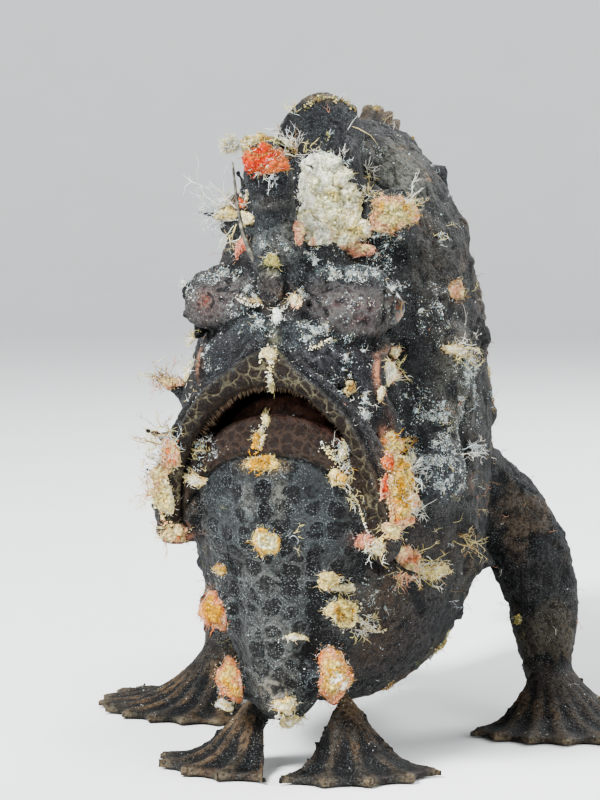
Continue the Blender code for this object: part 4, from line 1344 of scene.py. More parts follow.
# Crusts: across and down in the front view, radii there, thickness in millimetres, colours in the middle and
# colours at the rim. They are built in the order of their names.
CRUSTS = {
    "spine_tuft_red": (266, 161, 19, 13, 1.0, (RED, RED, ORANGE), (RED, ORANGE, OCHRE)),
    "spine_red_left": (254, 162, 10, 11, 1.5, (RED, RED, ORANGE), (RED, ORANGE)),
    "spine_red_right": (274, 165, 11, 10, 1.5, (RED, ORANGE, RED), (ORANGE, OCHRE)),
    "spine_red_high": (264, 152, 11, 7, 1.5, (ORANGE, RED), (ORANGE, OCHRE)),
    "spine_top_left": (251, 145, 10, 7, 1.3, (OLIVE, TAN, CREAM), (CREAM, OLIVE)),
    "spine_top_middle": (267, 141, 11, 6, 1.3, (TAN, OCHRE, PALE_YELLOW), (OLIVE, CREAM)),
    "spine_top_right": (284, 147, 10, 8, 1.3, (PALE_OLIVE, CREAM, TAN), (CREAM, WHITE)),
    "spine_crust_high": (319, 174, 20, 20, 0.7, (IVORY, WHITE, IVORY), (WHITE, IVORY)),
    "spine_crust_middle": (324, 202, 25, 18, 0.7, (IVORY, PALE_OLIVE, IVORY), (IVORY, WHITE)),
    "spine_crust_low": (316, 226, 22, 18, 0.7, (WHITE, IVORY, WHITE), (IVORY, CREAM)),
    "spine_crust_side": (345, 218, 17, 22, 0.7, (IVORY, CREAM, WHITE), (IVORY, PALE_YELLOW)),
    "mass_high_left": (311, 167, 10, 11, 1.6, (WHITE, IVORY), (WHITE, SILVER)),
    "mass_high": (329, 163, 11, 10, 1.6, (WHITE, IVORY, WHITE), (IVORY, SILVER)),
    "mass_high_right": (341, 177, 9, 12, 1.5, (IVORY, WHITE), (IVORY, CREAM)),
    "mass_shoulder": (315, 186, 12, 10, 1.4, (IVORY, PALE_OLIVE, IVORY), (IVORY, WHITE)),
    "mass_olive": (333, 197, 12, 11, 1.3, (PALE_OLIVE, PALE_YELLOW, PALE_OLIVE), (IVORY, PALE_OLIVE)),
    "mass_knob": (311, 217, 14, 13, 1.9, (PALE_OLIVE, WHITE, PALE_YELLOW), (IVORY, WHITE)),
    "mass_yellow": (332, 219, 12, 12, 1.5, (PALE_YELLOW, IVORY, CREAM), (IVORY, CREAM)),
    "mass_right_high": (350, 199, 12, 14, 1.4, (IVORY, PALE_OLIVE, CREAM), (WHITE, CREAM)),
    "mass_right": (357, 228, 13, 14, 1.4, (CREAM, PALE_YELLOW, CREAM), (WHITE, CREAM)),
    "mass_low": (320, 238, 15, 8, 1.3, (WHITE, IVORY, PALE_YELLOW), (IVORY, PINK)),
    "mass_pink_edge": (298, 233, 5, 12, 0.9, (PINK, CREAM, ROSE), (PINK, ROSE)),
    "mass_low_right": (342, 243, 13, 8, 1.2, (IVORY, CREAM), (PINK, CREAM)),
    "spine_crust_foot": (359, 250, 15, 8, 1.0, (PINK, CREAM, PINK), (PINK, ROSE)),
    "nape_tuft": (392, 214, 22, 21, 1.2, (PALE_YELLOW, PALE_OLIVE, YELLOW), (CREAM, PINK, TAN)),
    "spur_root": (226, 214, 12, 8, 0.8, (CREAM, PALE_YELLOW), (TAN, CREAM)),
    "spur_orange": (241, 204, 6, 5, 0.5, (RED, ORANGE), (ORANGE,)),
    "spur_white": (246, 219, 7, 8, 0.6, (WHITE, CREAM), (CREAM,)),
    "spur_red": (243, 249, 7, 13, 0.5, (PINK, ROSE, RED), (ROSE, PINK)),
    "nose_stub": (272, 261, 8, 8, 0.9, (PALE_YELLOW, OLIVE), (OLIVE,)),
    "nostril_right": (295, 301, 7, 7, 0.4, (CREAM, WHITE), (PINK, CREAM)),
    "nostril_left": (255, 301, 8, 3, 0.3, (TAN, PALE_OLIVE, CREAM), (TAN,)),
    "snout_white": (277, 316, 6, 8, 0.5, (WHITE,), (WHITE, SILVER)),
    "snout_stripe": (270, 355, 7, 8, 0.3, (CREAM, PALE_OLIVE), (CREAM, TAN)),
    "lip_stripe": (271, 384, 3, 10, 0.2, (CREAM, PALE_OLIVE), (CREAM,)),
    "lower_lip_stripe": (266, 418, 4, 9, 0.3, (CREAM, PALE_YELLOW), (CREAM, PALE_YELLOW)),
    "lower_lip_yellow": (259, 440, 6, 12, 0.4, (YELLOW, OCHRE, PALE_YELLOW), (YELLOW, CREAM)),
    "jaw_yellow": (263, 463, 15, 9, 0.4, (YELLOW, YELLOW, OCHRE), (YELLOW, PALE_YELLOW)),
    "jaw_right_yellow": (338, 478, 10, 9, 0.6, (YELLOW, YELLOW, PALE_YELLOW), (YELLOW, CREAM)),
    "jaw_right_white": (343, 452, 5, 10, 0.5, (WHITE, CREAM), (CREAM,)),
    "jaw_left_white": (196, 480, 10, 7, 0.4, (WHITE, CREAM), (CREAM, YELLOW)),
    "chin_wart": (266, 542, 13, 14, 0.8, (PALE_YELLOW, IVORY, PALE_YELLOW), (YELLOW, PALE_YELLOW, YELLOW)),
    "wart_one": (328, 580, 10, 10, 0.7, (PALE_YELLOW, CREAM), (CREAM, YELLOW)),
    "wart_one_tail": (343, 588, 12, 5, 0.5, (CREAM,), (CREAM, WHITE)),
    "wart_two": (343, 613, 15, 15, 0.9, (YELLOW, OCHRE, PALE_YELLOW), (CREAM, PALE_YELLOW)),
    "wart_three": (334, 675, 18, 25, 0.9, (PALE_YELLOW, YELLOW, CREAM), (ORANGE, PINK, YELLOW)),
    "wart_three_eye": (338, 680, 9, 10, 0.7, (WHITE, WHITE), (WHITE, PALE_YELLOW)),
    "left_leaf": (213, 611, 13, 20, 0.6, (YELLOW, YELLOW, ORANGE), (ORANGE, PINK, TAN)),
    "left_spot": (222, 569, 8, 7, 0.4, (PALE_YELLOW, YELLOW), (TAN,)),
    "left_low_leaf": (230, 680, 13, 22, 0.6, (YELLOW, PALE_YELLOW, ORANGE), (PINK, ORANGE, TAN)),
    "left_low_foot": (226, 705, 9, 8, 0.5, (CREAM, PALE_YELLOW), (CREAM, WHITE)),
    "throat_tuft": (285, 705, 11, 9, 0.8, (WHITE, PALE_YELLOW), (CREAM, YELLOW)),
    "throat_tuft_low": (291, 722, 12, 7, 0.5, (CREAM, WHITE), (CREAM,)),
    "throat_dash": (296, 637, 11, 4, 0.3, (PALE_YELLOW, WHITE), (CREAM,)),
    "corner_top": (389, 447, 12, 15, 0.9, (YELLOW, PALE_YELLOW, OCHRE), (CREAM, ORANGE)),
    "corner_red": (387, 463, 6, 8, 0.7, (RED, ORANGE), (ORANGE,)),
    "corner_middle": (400, 478, 15, 19, 1.0, (YELLOW, PALE_YELLOW, YELLOW), (CREAM, YELLOW)),
    "corner_low": (401, 506, 14, 19, 0.9, (PALE_YELLOW, YELLOW, ORANGE), (CREAM, PINK)),
    "corner_orange": (385, 488, 5, 15, 0.7, (ORANGE, RED, PINK), (ORANGE, PINK)),
    "corner_white_high": (408, 459, 8, 7, 1.1, (IVORY, PALE_YELLOW), (CREAM, WHITE)),
    "corner_yellow": (397, 493, 9, 10, 1.3, (YELLOW, OCHRE, YELLOW), (YELLOW, PALE_YELLOW)),
    "corner_yellow_high": (396, 468, 8, 9, 1.3, (YELLOW, YELLOW, OCHRE), (YELLOW, CREAM)),
    "corner_white_low": (412, 500, 7, 10, 1.1, (CREAM, WHITE, YELLOW), (CREAM, PINK)),
    "corner_pink": (403, 520, 9, 8, 1.1, (PINK, ORANGE, CREAM), (CREAM, PINK)),
    "corner_foot": (392, 530, 10, 9, 0.7, (CREAM, PALE_YELLOW), (CREAM, PINK)),
    "flap_foot": (365, 541, 10, 8, 0.6, (PINK, ORANGE), (ROSE, PINK)),
    "flap_foot_pale": (378, 546, 8, 8, 0.5, (CREAM, WHITE), (CREAM,)),
    "gill_growth": (409, 561, 11, 17, 0.9, (ORANGE, PINK, CREAM), (PINK, CREAM)),
    "gill_growth_side": (431, 571, 18, 9, 0.8, (PALE_YELLOW, CREAM, OLIVE), (CREAM, TAN)),
    "left_corner_pink": (170, 455, 9, 20, 0.8, (PINK, ORANGE, PINK), (PINK, CREAM)),
    "left_corner_pale": (164, 496, 10, 19, 1.0, (CREAM, PALE_YELLOW, CREAM), (WHITE, CREAM)),
    "left_corner_white": (160, 474, 8, 10, 0.9, (CREAM, PALE_YELLOW), (CREAM, PINK)),
    "left_corner_foot": (176, 533, 12, 9, 0.7, (PINK, CREAM, ORANGE), (CREAM, PINK)),
    "left_fringe": (170, 382, 12, 8, 0.6, (TAN, CREAM), (TAN, PINK)),
    "left_white": (190, 372, 7, 11, 0.6, (WHITE, CREAM), (CREAM,)),
    "left_lid_foot": (189, 337, 5, 6, 0.4, (CREAM, PALE_YELLOW), (CREAM,)),
    "cheek_white": (388, 374, 11, 11, 0.9, (WHITE, IVORY), (CREAM, PINK)),
    "cheek_white_top": (394, 352, 8, 6, 0.5, (IVORY, CREAM), (CREAM, PINK)),
    "cheek_white_low": (381, 394, 4, 9, 0.4, (CREAM, WHITE), (PINK, CREAM)),
    "cheek_brown": (350, 388, 7, 7, 0.4, (OCHRE, TAN), (CREAM, TAN)),
    "flank_white": (455, 350, 14, 6, 0.6, (WHITE, CREAM), (CREAM, TAN)),
    "flank_tan": (455, 290, 8, 12, 0.6, (TAN, PINK, CREAM), (TAN,)),
}
ROSETTES = ("mass_knob", "chin_wart", "wart_two", "wart_three", "nose_stub")
# Crusts along a line: its width in the view, thickness in millimetres, colours, and places in the front view.
EDGINGS = (
    # The corners of the mouth, left and right.
    (4.0, 0.5, (PINK, CREAM, ORANGE), (176, 440), (168, 462), (164, 490), (163, 515), (174, 534), (187, 540)),
    (4.0, 0.5, (CREAM, PINK, PALE_YELLOW), (384, 450), (389, 480), (392, 512), (388, 534), (376, 544)),
    # The edge of the hump, the middle of the face, and silt on the lower lip.
    (2.5, 0.4, (TAN, OLIVE, CREAM), (306, 110), (316, 101), (330, 98), (344, 101), (354, 112)),
    (
        *(4.0, 0.25, (CREAM, WHITE, OLIVE)),
        *((272, 350), (270, 375), (269, 392), (267, 408), (264, 425), (261, 446)),
    ),
    (5.0, 0.2, (SILVER, WHITE), (196, 446), (206, 440), (214, 434)),
    (5.0, 0.2, (SILVER, CREAM), (322, 446), (334, 456), (344, 470)),
    # The snout, the second wart, the brows, the second spine and the flap of the lip.
    (2.0, 0.2, (CREAM, WHITE), (270, 348), (262, 352), (260, 364)),
    (4.0, 0.5, (CREAM, WHITE), (356, 618), (368, 628), (384, 630)),
    (2.5, 0.3, (WHITE, CREAM), (238, 297), (248, 303), (262, 305)),
    (2.5, 0.3, (CREAM, WHITE), (308, 350), (322, 345), (330, 340)),
    (2.0, 0.5, (WHITE, CREAM), (234, 152), (234, 168), (238, 184), (241, 196)),
    (1.6, 0.15, (CREAM, WHITE), (348, 490), (358, 504), (364, 520), (369, 536)),
)

SHEET_REACH = 1.5  # half width of the sheet laid under a crust, as a share of the crust's radius
SHEET_STOPS = 15
SHEET_SLOPE = 1.8
SHEET_GAP = 0.25  # millimetres of bridging under which a crust follows the skin itself
RINGS_PER_MM = 9
TURNS_PER_MM = 36
KNOB = 0.36
STRAY = 1.35  # how far past its edge the bits of a crust stray, as a share of its radius
PALE = np.array(SILVER) * 0.8  # bits of silt around a crust
FINE_STRAND = 850  # from a strand's radius in metres to that of a finer thread in millimetres
FACE_BITS = 130
BODY_CRUSTS = 88
BODY_TUFTS = 640


def seat_in_view(surface, across, down, wide, tall):
    """Carries a place in a unit disc onto the skin seen in an oval of the front view.

    A sheet no steeper than SHEET_SLOPE is laid over what shows there, so that a crust bridges the step
    where one part of the fish stands before another.
    """
    size = math.sqrt(wide * tall) / 10
    centre, centre_normal = surface.seen(across, down)
    back = view_axes()[2]
    stops = np.linspace(-SHEET_REACH, SHEET_REACH, SHEET_STOPS)
    depth = [[surface.seen(across + wide * u, down - tall * v)[0].dot(back) for u in stops] for v in stops]
    depth = np.clip(depth, centre.dot(back) - 1.5 * size - 0.2, centre.dot(back) + 1.5 * size + 0.2)
    grid = np.stack(np.meshgrid(stops * wide / 10, stops * tall / 10), -1).reshape(-1, 2)
    apart = np.sqrt(((grid[:, None] - grid[None]) ** 2).sum(2))
    sheet = (depth.ravel()[None] - SHEET_SLOPE * apart).max(1).reshape(depth.shape)

    def laid(u, v):
        i, j = (np.clip((w / SHEET_REACH + 1) / 2, 0, 0.9999) * (SHEET_STOPS - 1) for w in (v, u))
        a, b = int(i), int(j)
        low = sheet[a, b] + (sheet[a, b + 1] - sheet[a, b]) * (j - b)
        high = sheet[a + 1, b] + (sheet[a + 1, b + 1] - sheet[a + 1, b]) * (j - b)
        return low + (high - low) * (i - a)

    def seat(u, v):
        at = (across + wide * u, down - tall * v)
        place, normal = surface.seen(*at)
        wanted = laid(u, v)
        if abs(wanted - place.dot(back)) > SHEET_GAP:
            eye, aim = view_ray(*at)
            place = eye + aim * ((wanted - eye.dot(back)) / aim.dot(back))
            normal = (normal + centre_normal * 2).normalized()
        return place, normal

    return seat, size


def seat_on_body(surface, place, normal, spread):
    """Carries a place in a unit disc onto the skin around a point of it."""
    normal = Vector(normal).normalized()
    first = normal.orthogonal().normalized()
    second = normal.cross(first)

    def seat(u, v):
        return surface.tree.find_nearest(Vector(place) + (first * u + second * v) * spread)[:2]

    return seat, spread


def uneven(around, shift):
    """How far the edge of a crust reaches in one direction, about 1."""
    waves = ((2, 0.14), (3, 0.12), (5, 0.08), (9, 0.04), (14, 0.02))
    return 1 + sum(size * math.sin(turns * around + shift * (turns + 1)) for turns, size in waves)


def seated(seat, out, around, shift):
    """The place and normal at that share of the way out to the edge of a crust, in that direction."""
    reach = out * uneven(around, shift)
    return seat(reach * math.cos(around), reach * math.sin(around))


def dome(out, rosette):
    """Height of a crust from its middle to its edge, from 1 to 0; a rosette has rings."""
    base = np.clip(1 - out**2, 0, 1) ** 0.65
    return base * (0.7 + 0.36 * np.cos(2 * math.pi * 2.1 * out)) if rosette else base


def mound(heap, seat, size, middle, edge, thick, rosette, shift):
    """The body of a crust: a knobbly dome with painted shade between its knobs, sunk into the skin at its
    edge.
    """
    rings = max(6, int(size * RINGS_PER_MM))
    turns = max(18, int(size * TURNS_PER_MM))
    centre, centre_normal = seat(0, 0)
    spots, lifts, outs = [centre], [centre_normal], [0.0]
    for i in range(1, rings + 1):
        out = (i / rings) ** 0.85
        for k in range(turns):
            place, normal = seated(seat, out, 2 * math.pi * k / turns, shift)
            spots.append(place)
            lifts.append((normal + centre_normal).normalized())
            outs.append(out)
    points, lifts, outs = np.array(spots, float), np.array(lifts, float), np.array(outs)
    first, second = cells(points, KNOB, 17)
    knobs = ramp(0.0, 0.35, second - first)
    rough = 0.7 + 0.35 * noise(points, 0.9, 19) + 0.25 * noise(points, 0.42, 21)
    knobbly = (0.14 * knobs + 0.1 * noise(points, 0.2, 25)) * (1 - outs**4)
    height = np.where(outs > 0.99, -0.18, thick * dome(outs, rosette) * rough + knobbly)
    # Painted shade: darker where the knobs are low, between them.
    tones = growth_tone(points, middle, edge, outs) * (0.42 + 0.58 * ramp(-0.1, 0.8, knobs))[:, None]
    points = points + lifts * height[:, None]
    faces = [(0, 1 + k, 1 + (k + 1) % turns) for k in range(turns)]
    for i in range(rings - 1):
        for k in range(turns):
            a, b = 1 + i * turns + k, 1 + i * turns + (k + 1) % turns
            faces.append((a, a + turns, b + turns, b))
    last = 1 + (rings - 1) * turns
    faces.extend((last + (k + 1) % turns, last + k, len(points)) for k in range(turns))
    points = np.vstack([points, np.array(centre - centre_normal * 0.4)])
    heap.add(points, faces, np.vstack([tones, tones[-1]]), centre)


def crust(heap, fuzz, rng, settings, seat, size, middle, edge, thick, ball, rosette=False):
    """One crust: its mound, small lumps on and around it, and a fuzz of fine threads."""
    shift = rng.uniform(0, 6)
    mound(heap, seat, size, middle, edge, thick * 0.85, rosette, shift)

    def rise(out):
        return float(dome(np.array(min(out, 1.0)), rosette))

    area = math.pi * size * size
    base = settings.lump * 1000
    on_it = int(area * settings.crowding * (1 + 0.5 * thick)) + 4
    for k in range(on_it + int(area * 2 + size * 9)):
        out = math.sqrt(rng.uniform()) if k < on_it else 1 + (STRAY - 1) * rng.uniform() ** 1.8
        place, normal = seated(seat, out, rng.uniform(0, 2 * math.pi), shift)
        raised = thick * 0.6 * rise(out) * rng.uniform(0.7, 1.2)
        radius = base * rng.choice((0.45, 0.7, 1.1, 1.7), p=(0.4, 0.33, 0.2, 0.07))
        tone = growth_tone(np.array([tuple(place)]), middle, edge, np.array([out]))[0]
        if k >= on_it:
            radius, tone = radius * 0.7, 0.35 * tone + 0.65 * PALE
        lump(heap, rng, place + normal * raised, normal, radius, tone, ball)
    for _ in range(int(area * settings.fuzz) + 4):
        out = math.sqrt(rng.uniform(0.1, 1.25))
        place, normal = seated(seat, out, rng.uniform(0, 2 * math.pi), shift)
        heading = normal + jolt(rng) * 0.6
        colour = (*edge, WHITE, CREAM)[rng.integers(len(edge) + 2)]
        reach = rng.uniform(0.25, 0.8)
        start = place + normal * thick * 0.6 * rise(out)
        grow(fuzz, rng, place, start, heading, reach, settings.strand * FINE_STRAND, colour, 0, 3)


def edging(heap, rng, surface, settings, path, width, colours, thick, ball):
    """Small lumps strewn along a path in the front view."""
    base = settings.lump * 1000
    for start, end in zip(path, path[1:]):
        for _ in range(int(math.dist(start, end) * (0.9 + width * 0.7))):
            t = rng.uniform()
            at = [a + t * (b - a) + rng.normal() * width * 0.4 for a, b in zip(start, end)]
            place, normal = surface.seen(*at)
            tone = growth_tone(np.array([tuple(place)]), colours, colours, np.zeros(1))[0]
            radius = base * rng.choice((0.5, 0.8, 1.3), p=(0.45, 0.35, 0.2))
            lump(heap, rng, place + normal * thick * rng.uniform(), normal, radius, tone, ball)


def scattered(surface, rng, count, weight):
    """Places spread over the skin, thicker where the weight is higher, each with its normal."""
    corners = surface.points[surface.triangles]
    cross = np.cross(corners[:, 1] - corners[:, 0], corners[:, 2] - corners[:, 0])
    area = np.sqrt((cross**2).sum(1))
    share = area * weight[surface.triangles].mean(1)
    chosen = rng.choice(len(share), size=count, p=share / share.sum())
    a, b = rng.uniform(size=(2, count))
    flip = a + b > 1
    a[flip], b[flip] = 1 - a[flip], 1 - b[flip]
    tri = corners[chosen]
    places = tri[:, 0] + a[:, None] * (tri[:, 1] - tri[:, 0]) + b[:, None] * (tri[:, 2] - tri[:, 0])
    return zip(places, cross[chosen] / area[chosen][:, None])


class FROGFISH_OT_crusts(Operator):
    """Builds the crusts and warty growth, as heaps of small lumps"""

    bl_idname = "frogfish.crusts"
    bl_label = "Crusts"

    def execute(self, context):
        settings = context.scene.frogfish_growth
        surface = STORE["surface"]
        rng = np.random.default_rng(settings.seed)
        ball = ball_template()
        material = growth_material("crust", 0.85, 5200.0)
        fuzz = Heap()
        names = sorted(CRUSTS)
        for k in (0, 1):
            heap = Heap()
            for name in names[k::2]:
                *oval, thick, middle, edge = CRUSTS[name]
                seat, size = seat_in_view(surface, *oval)
                crust(heap, fuzz, rng, settings, seat, size, middle, edge, thick, ball, name in ROSETTES)
            heap.finish(f"face_crusts_{k + 1}", material)
        heap = Heap()
        for width, thick, colours, *path in EDGINGS:
            edging(heap, rng, surface, settings, path, width, colours, thick, ball)
        pale = (SILVER, linear("a3b1b4"), linear("c4c9c2"))
        for place, normal in scattered(surface, rng, FACE_BITS, STORE["silt"] ** 3):
            seat, size = seat_on_body(surface, place, normal, rng.uniform(0.07, 0.26))
            crust(heap, fuzz, rng, settings, seat, size, pale, pale[::-1], 0.13, ball)
        heap.finish("face_bits", material)
        heap = Heap()
        self.body_crusts(settings, surface, rng, ball, heap, fuzz)
        heap.finish("body_crusts", material)
        fuzz.finish("crust_fuzz", growth_material("fuzz", 0.7, 6000.0))
        return {"FINISHED"}

    def body_crusts(self, settings, surface, rng, ball, heap, fuzz):
        """The same growth in small patches on the flanks, back, tail and fins."""
        _, s, z = to_fish(surface.points)
        weight = ramp(17, 26, s) * (0.35 + 0.65 * (1 - STORE["fins"])) * ramp(1.5, 4.0, z)
        weight *= 0.25 + ramp(-0.1, 0.6, noise(surface.points, 12.0, 131))
        weight *= ramp(0.0, 0.5, noise(surface.points, 7.0, 133)) + 0.04
        palettes = ((CREAM, TAN), (TAN, OLIVE), (SILVER, TAN), (TAN, OCHRE), (PALE_YELLOW, OLIVE))
        palettes += ((PINK, ORANGE, TAN),)
        for place, normal in scattered(surface, rng, BODY_CRUSTS, weight):
            colours = palettes[rng.choice(len(palettes), p=(0.16, 0.26, 0.14, 0.22, 0.12, 0.1))]
            seat, size = seat_on_body(surface, place, normal, 0.18 + 1.1 * rng.uniform() ** 2.2)
            crust(heap, fuzz, rng, settings, seat, size, colours, colours[::-1], 0.15 + 0.35 * size, ball)


WANDER = 0.35  # how far a thread turns aside at each step


def strand(heap, path, radius, colour, root, sides=3):
    """A tapering closed thread along a path in millimetres, with a fixed number of sides."""
    rings, faces = [], []
    across = None
    count = len(path)
    for i, point in enumerate(path):
        along = (path[min(i + 1, count - 1)] - path[max(i - 1, 0)]).normalized()
        across = along.orthogonal() if across is None else across - across.dot(along) * along
        across = across.normalized()
        other = along.cross(across)
        size = radius * (1 - 0.72 * i / (count - 1))
        for k in range(sides):
            turn = 2 * math.pi * k / sides
            rings.append(point + (across * math.cos(turn) + other * math.sin(turn)) * size)
    for i in range(count - 1):
        for k in range(sides):
            a, b = i * sides + k, i * sides + (k + 1) % sides
            faces.append((a, b, b + sides, a + sides))
    faces.append(tuple(range(sides))[::-1])
    faces.append(tuple(range((count - 1) * sides, count * sides)))
    heap.add(np.array(rings, float), faces, colour, root)


def grow(heap, rng, root, start, heading, reach, radius, colour, forks, steps=5):
    """A thread that wanders, and forks into shorter ones."""
    path = [start]
    aim = heading.normalized()
    for _ in range(steps):
        aim = (aim + jolt(rng) * WANDER).normalized()
        path.append(path[-1] + aim * reach / steps)
    strand(heap, path, radius, varied(colour, rng, 0.15), root)
    if forks <= 0:
        return
    for _ in range(rng.integers(2, 4)):
        k = rng.integers(1, steps)
        side = (aim + jolt(rng) * 0.8).normalized()
        shorter = reach * rng.uniform(0.35, 0.6)
        grow(heap, rng, root, path[k], side, shorter, radius * 0.7, colour, forks - 1, 3)


# Branching tufts: where they root and where their tips point, both across and down in the front view, length
# in millimetres, number, forks and colours.
TUFTS = (
    # Beside and on the second spine.
    (230, 212, 150, 205, 4.4, 9, 2, WHITE, CREAM, SILVER),
    (226, 211, 150, 184, 7.6, 1, 1, SILVER, WHITE),
    (236, 228, 222, 262, 2.6, 3, 1, WHITE, CREAM),
    (246, 146, 226, 132, 2.6, 5, 2, WHITE, CREAM, OLIVE),
    (240, 150, 232, 185, 4.0, 2, 1, WHITE, SILVER),
    (270, 134, 262, 118, 1.6, 8, 1, OCHRE, TAN, CREAM),
    (286, 146, 294, 118, 2.4, 8, 1, WHITE, WHITE, SILVER),
    (308, 152, 318, 136, 1.4, 5, 1, WHITE, CREAM),
    (262, 162, 240, 172, 1.6, 8, 1, ORANGE, RED, CREAM),
    (272, 172, 270, 192, 1.8, 5, 1, SILVER, WHITE),
    # The hump, and the mass of crusts before it.
    (345, 128, 378, 180, 4.4, 1, 0, WHITE, CREAM),
    (370, 168, 362, 204, 3.2, 3, 1, WHITE, CREAM),
    (340, 100, 356, 90, 1.2, 3, 1, SILVER, CREAM),
    (300, 112, 262, 104, 2.2, 2, 1, SILVER, CREAM),
    (340, 162, 354, 150, 1.4, 6, 1, WHITE, SILVER),
    (362, 198, 380, 184, 1.6, 7, 1, WHITE, CREAM),
    (358, 232, 376, 236, 1.4, 7, 1, CREAM, WHITE),
    (262, 158, 258, 180, 1.6, 5, 1, CREAM, WHITE),
    # The nape, then the cheek, the corner of the mouth and the jaw on the left of the view.
    (408, 206, 428, 176, 3.0, 4, 2, WHITE, CREAM),
    (400, 212, 420, 216, 1.8, 10, 1, PALE_YELLOW, YELLOW),
    (170, 380, 132, 366, 3.2, 6, 2, TAN, CREAM, PINK),
    (188, 368, 168, 352, 2.4, 5, 2, WHITE, SILVER),
    (190, 385, 200, 400, 1.4, 4, 1, WHITE, CREAM),
    (172, 440, 120, 425, 4.4, 6, 2, SILVER, CREAM, TAN),
    (166, 464, 118, 452, 3.0, 8, 2, CREAM, TAN, IVORY),
    (162, 492, 122, 490, 2.8, 9, 2, CREAM, PALE_YELLOW, PINK),
    (172, 528, 150, 535, 2.4, 6, 1, PINK, CREAM),
    (196, 480, 190, 472, 1.6, 8, 1, WHITE, CREAM),
    (205, 452, 196, 440, 1.5, 6, 1, SILVER, CREAM),
    (262, 462, 240, 466, 1.4, 10, 1, YELLOW, CREAM),
    # The jaw, the corner of the mouth and the gill on the right.
    (340, 476, 360, 486, 1.8, 10, 1, YELLOW, CREAM, WHITE),
    (344, 452, 352, 436, 1.8, 6, 1, SILVER, WHITE),
    (352, 496, 366, 510, 1.6, 5, 1, WHITE, CREAM),
    (394, 450, 416, 440, 2.0, 10, 2, CREAM, YELLOW),
    (408, 470, 450, 462, 3.0, 8, 2, WHITE, SILVER),
    (408, 505, 440, 520, 2.6, 8, 2, CREAM, WHITE),
    (376, 546, 384, 566, 2.0, 8, 1, CREAM, WHITE),
    (420, 566, 462, 580, 3.2, 9, 2, CREAM, PALE_YELLOW, WHITE),
    (406, 575, 396, 596, 2.4, 7, 1, CREAM, PINK),
    # The cheek, the flank and the edge of the nape.
    (392, 372, 414, 366, 1.8, 8, 1, WHITE, CREAM),
    (458, 350, 486, 352, 2.8, 7, 2, WHITE, CREAM),
    (458, 296, 478, 292, 1.4, 4, 1, TAN, CREAM),
    (468, 452, 494, 446, 2.4, 6, 2, WHITE, SILVER),
    (462, 540, 486, 548, 2.6, 6, 2, CREAM, TAN),
    (436, 236, 462, 240, 1.4, 4, 1, SILVER, CREAM),
    # The warts and the throat.
    (338, 586, 360, 594, 1.8, 6, 1, CREAM, WHITE),
    (360, 624, 392, 632, 2.4, 7, 2, CREAM, WHITE),
    (284, 708, 270, 722, 1.8, 8, 1, WHITE, CREAM),
    (296, 722, 310, 730, 1.8, 6, 1, CREAM, WHITE),
    (210, 620, 200, 640, 1.6, 6, 1, PINK, ORANGE),
    # The brow, the lid, the lip, the snout and the chin.
    (188, 284, 178, 272, 1.2, 5, 1, SILVER, WHITE),
    (190, 338, 178, 344, 1.6, 5, 1, CREAM, WHITE),
    (360, 402, 376, 410, 1.4, 5, 1, SILVER, WHITE),
    (277, 317, 284, 306, 1.0, 5, 1, WHITE),
    (292, 536, 302, 524, 1.4, 4, 1, SILVER, CREAM),
)
MORE = 2.4  # strands for each one counted in the table


class FROGFISH_OT_tufts(Operator):
    """Builds the branching tufts and threads that stand out from the skin"""

    bl_idname = "frogfish.tufts"
    bl_label = "Tufts"

    def execute(self, context):
        settings = context.scene.frogfish_growth
        surface = STORE["surface"]
        rng = np.random.default_rng(settings.seed + 1)
        right, up, back, _ = view_axes()
        radius = settings.strand * 1000
        heap = Heap()
        for across, down, tip_across, tip_down, longest, number, forks, *colours in TUFTS:
            aim = (right * (tip_across - across) - up * (tip_down - down)).normalized()
            spread = 2.0 + 1.2 * number**0.5
            for _ in range(round(number * MORE)):
                place, normal = surface.seen(across + rng.normal() * spread, down + rng.normal() * spread)
                heading = aim * 1.2 + normal * 0.5 + back * 0.15 + jolt(rng) * 0.35
                reach = longest * rng.uniform(0.55, 1.05)
                thick = radius * rng.uniform(0.9, 2.1)
                colour = colours[rng.integers(len(colours))]
                grow(heap, rng, place, place - normal * 0.1, heading, reach, thick, colour, forks)
        material = growth_material("threads", 0.7, 6000.0)
        heap.finish("face_tufts", material)
        self.body_tufts(settings, surface, rng, material)
        return {"FINISHED"}

    def body_tufts(self, settings, surface, rng, material):
        """Short tufts scattered over the whole fish, thickest on its outline."""
        heap = Heap()
        _, s, z = to_fish(surface.points)
        weight = (0.3 + 0.7 * ramp(-0.1, 0.6, noise(surface.points, 9.0, 141))) * ramp(2.0, 5.0, z)
        weight *= (1 - 0.75 * ramp(18, 8, s)) * (1 - 0.5 * STORE["fins"])
        colours = (WHITE, CREAM, TAN, SILVER, PINK, OLIVE)
        for place, normal in scattered(surface, rng, BODY_TUFTS, weight):
            heading = Vector(normal) + jolt(rng) * 0.45 + Vector((0, 0.25, 0.1))
            colour = colours[rng.integers(len(colours))]
            reach = rng.uniform(0.6, 2.0) * (1 - 0.4 * (place[1] + FRONT_TO_MIDDLE < 16))
            start = Vector(place) - Vector(normal) * 0.1
            grow(heap, rng, Vector(place), start, heading, reach, settings.strand * FINE_STRAND, colour, 1)
        heap.finish("body_tufts", material)


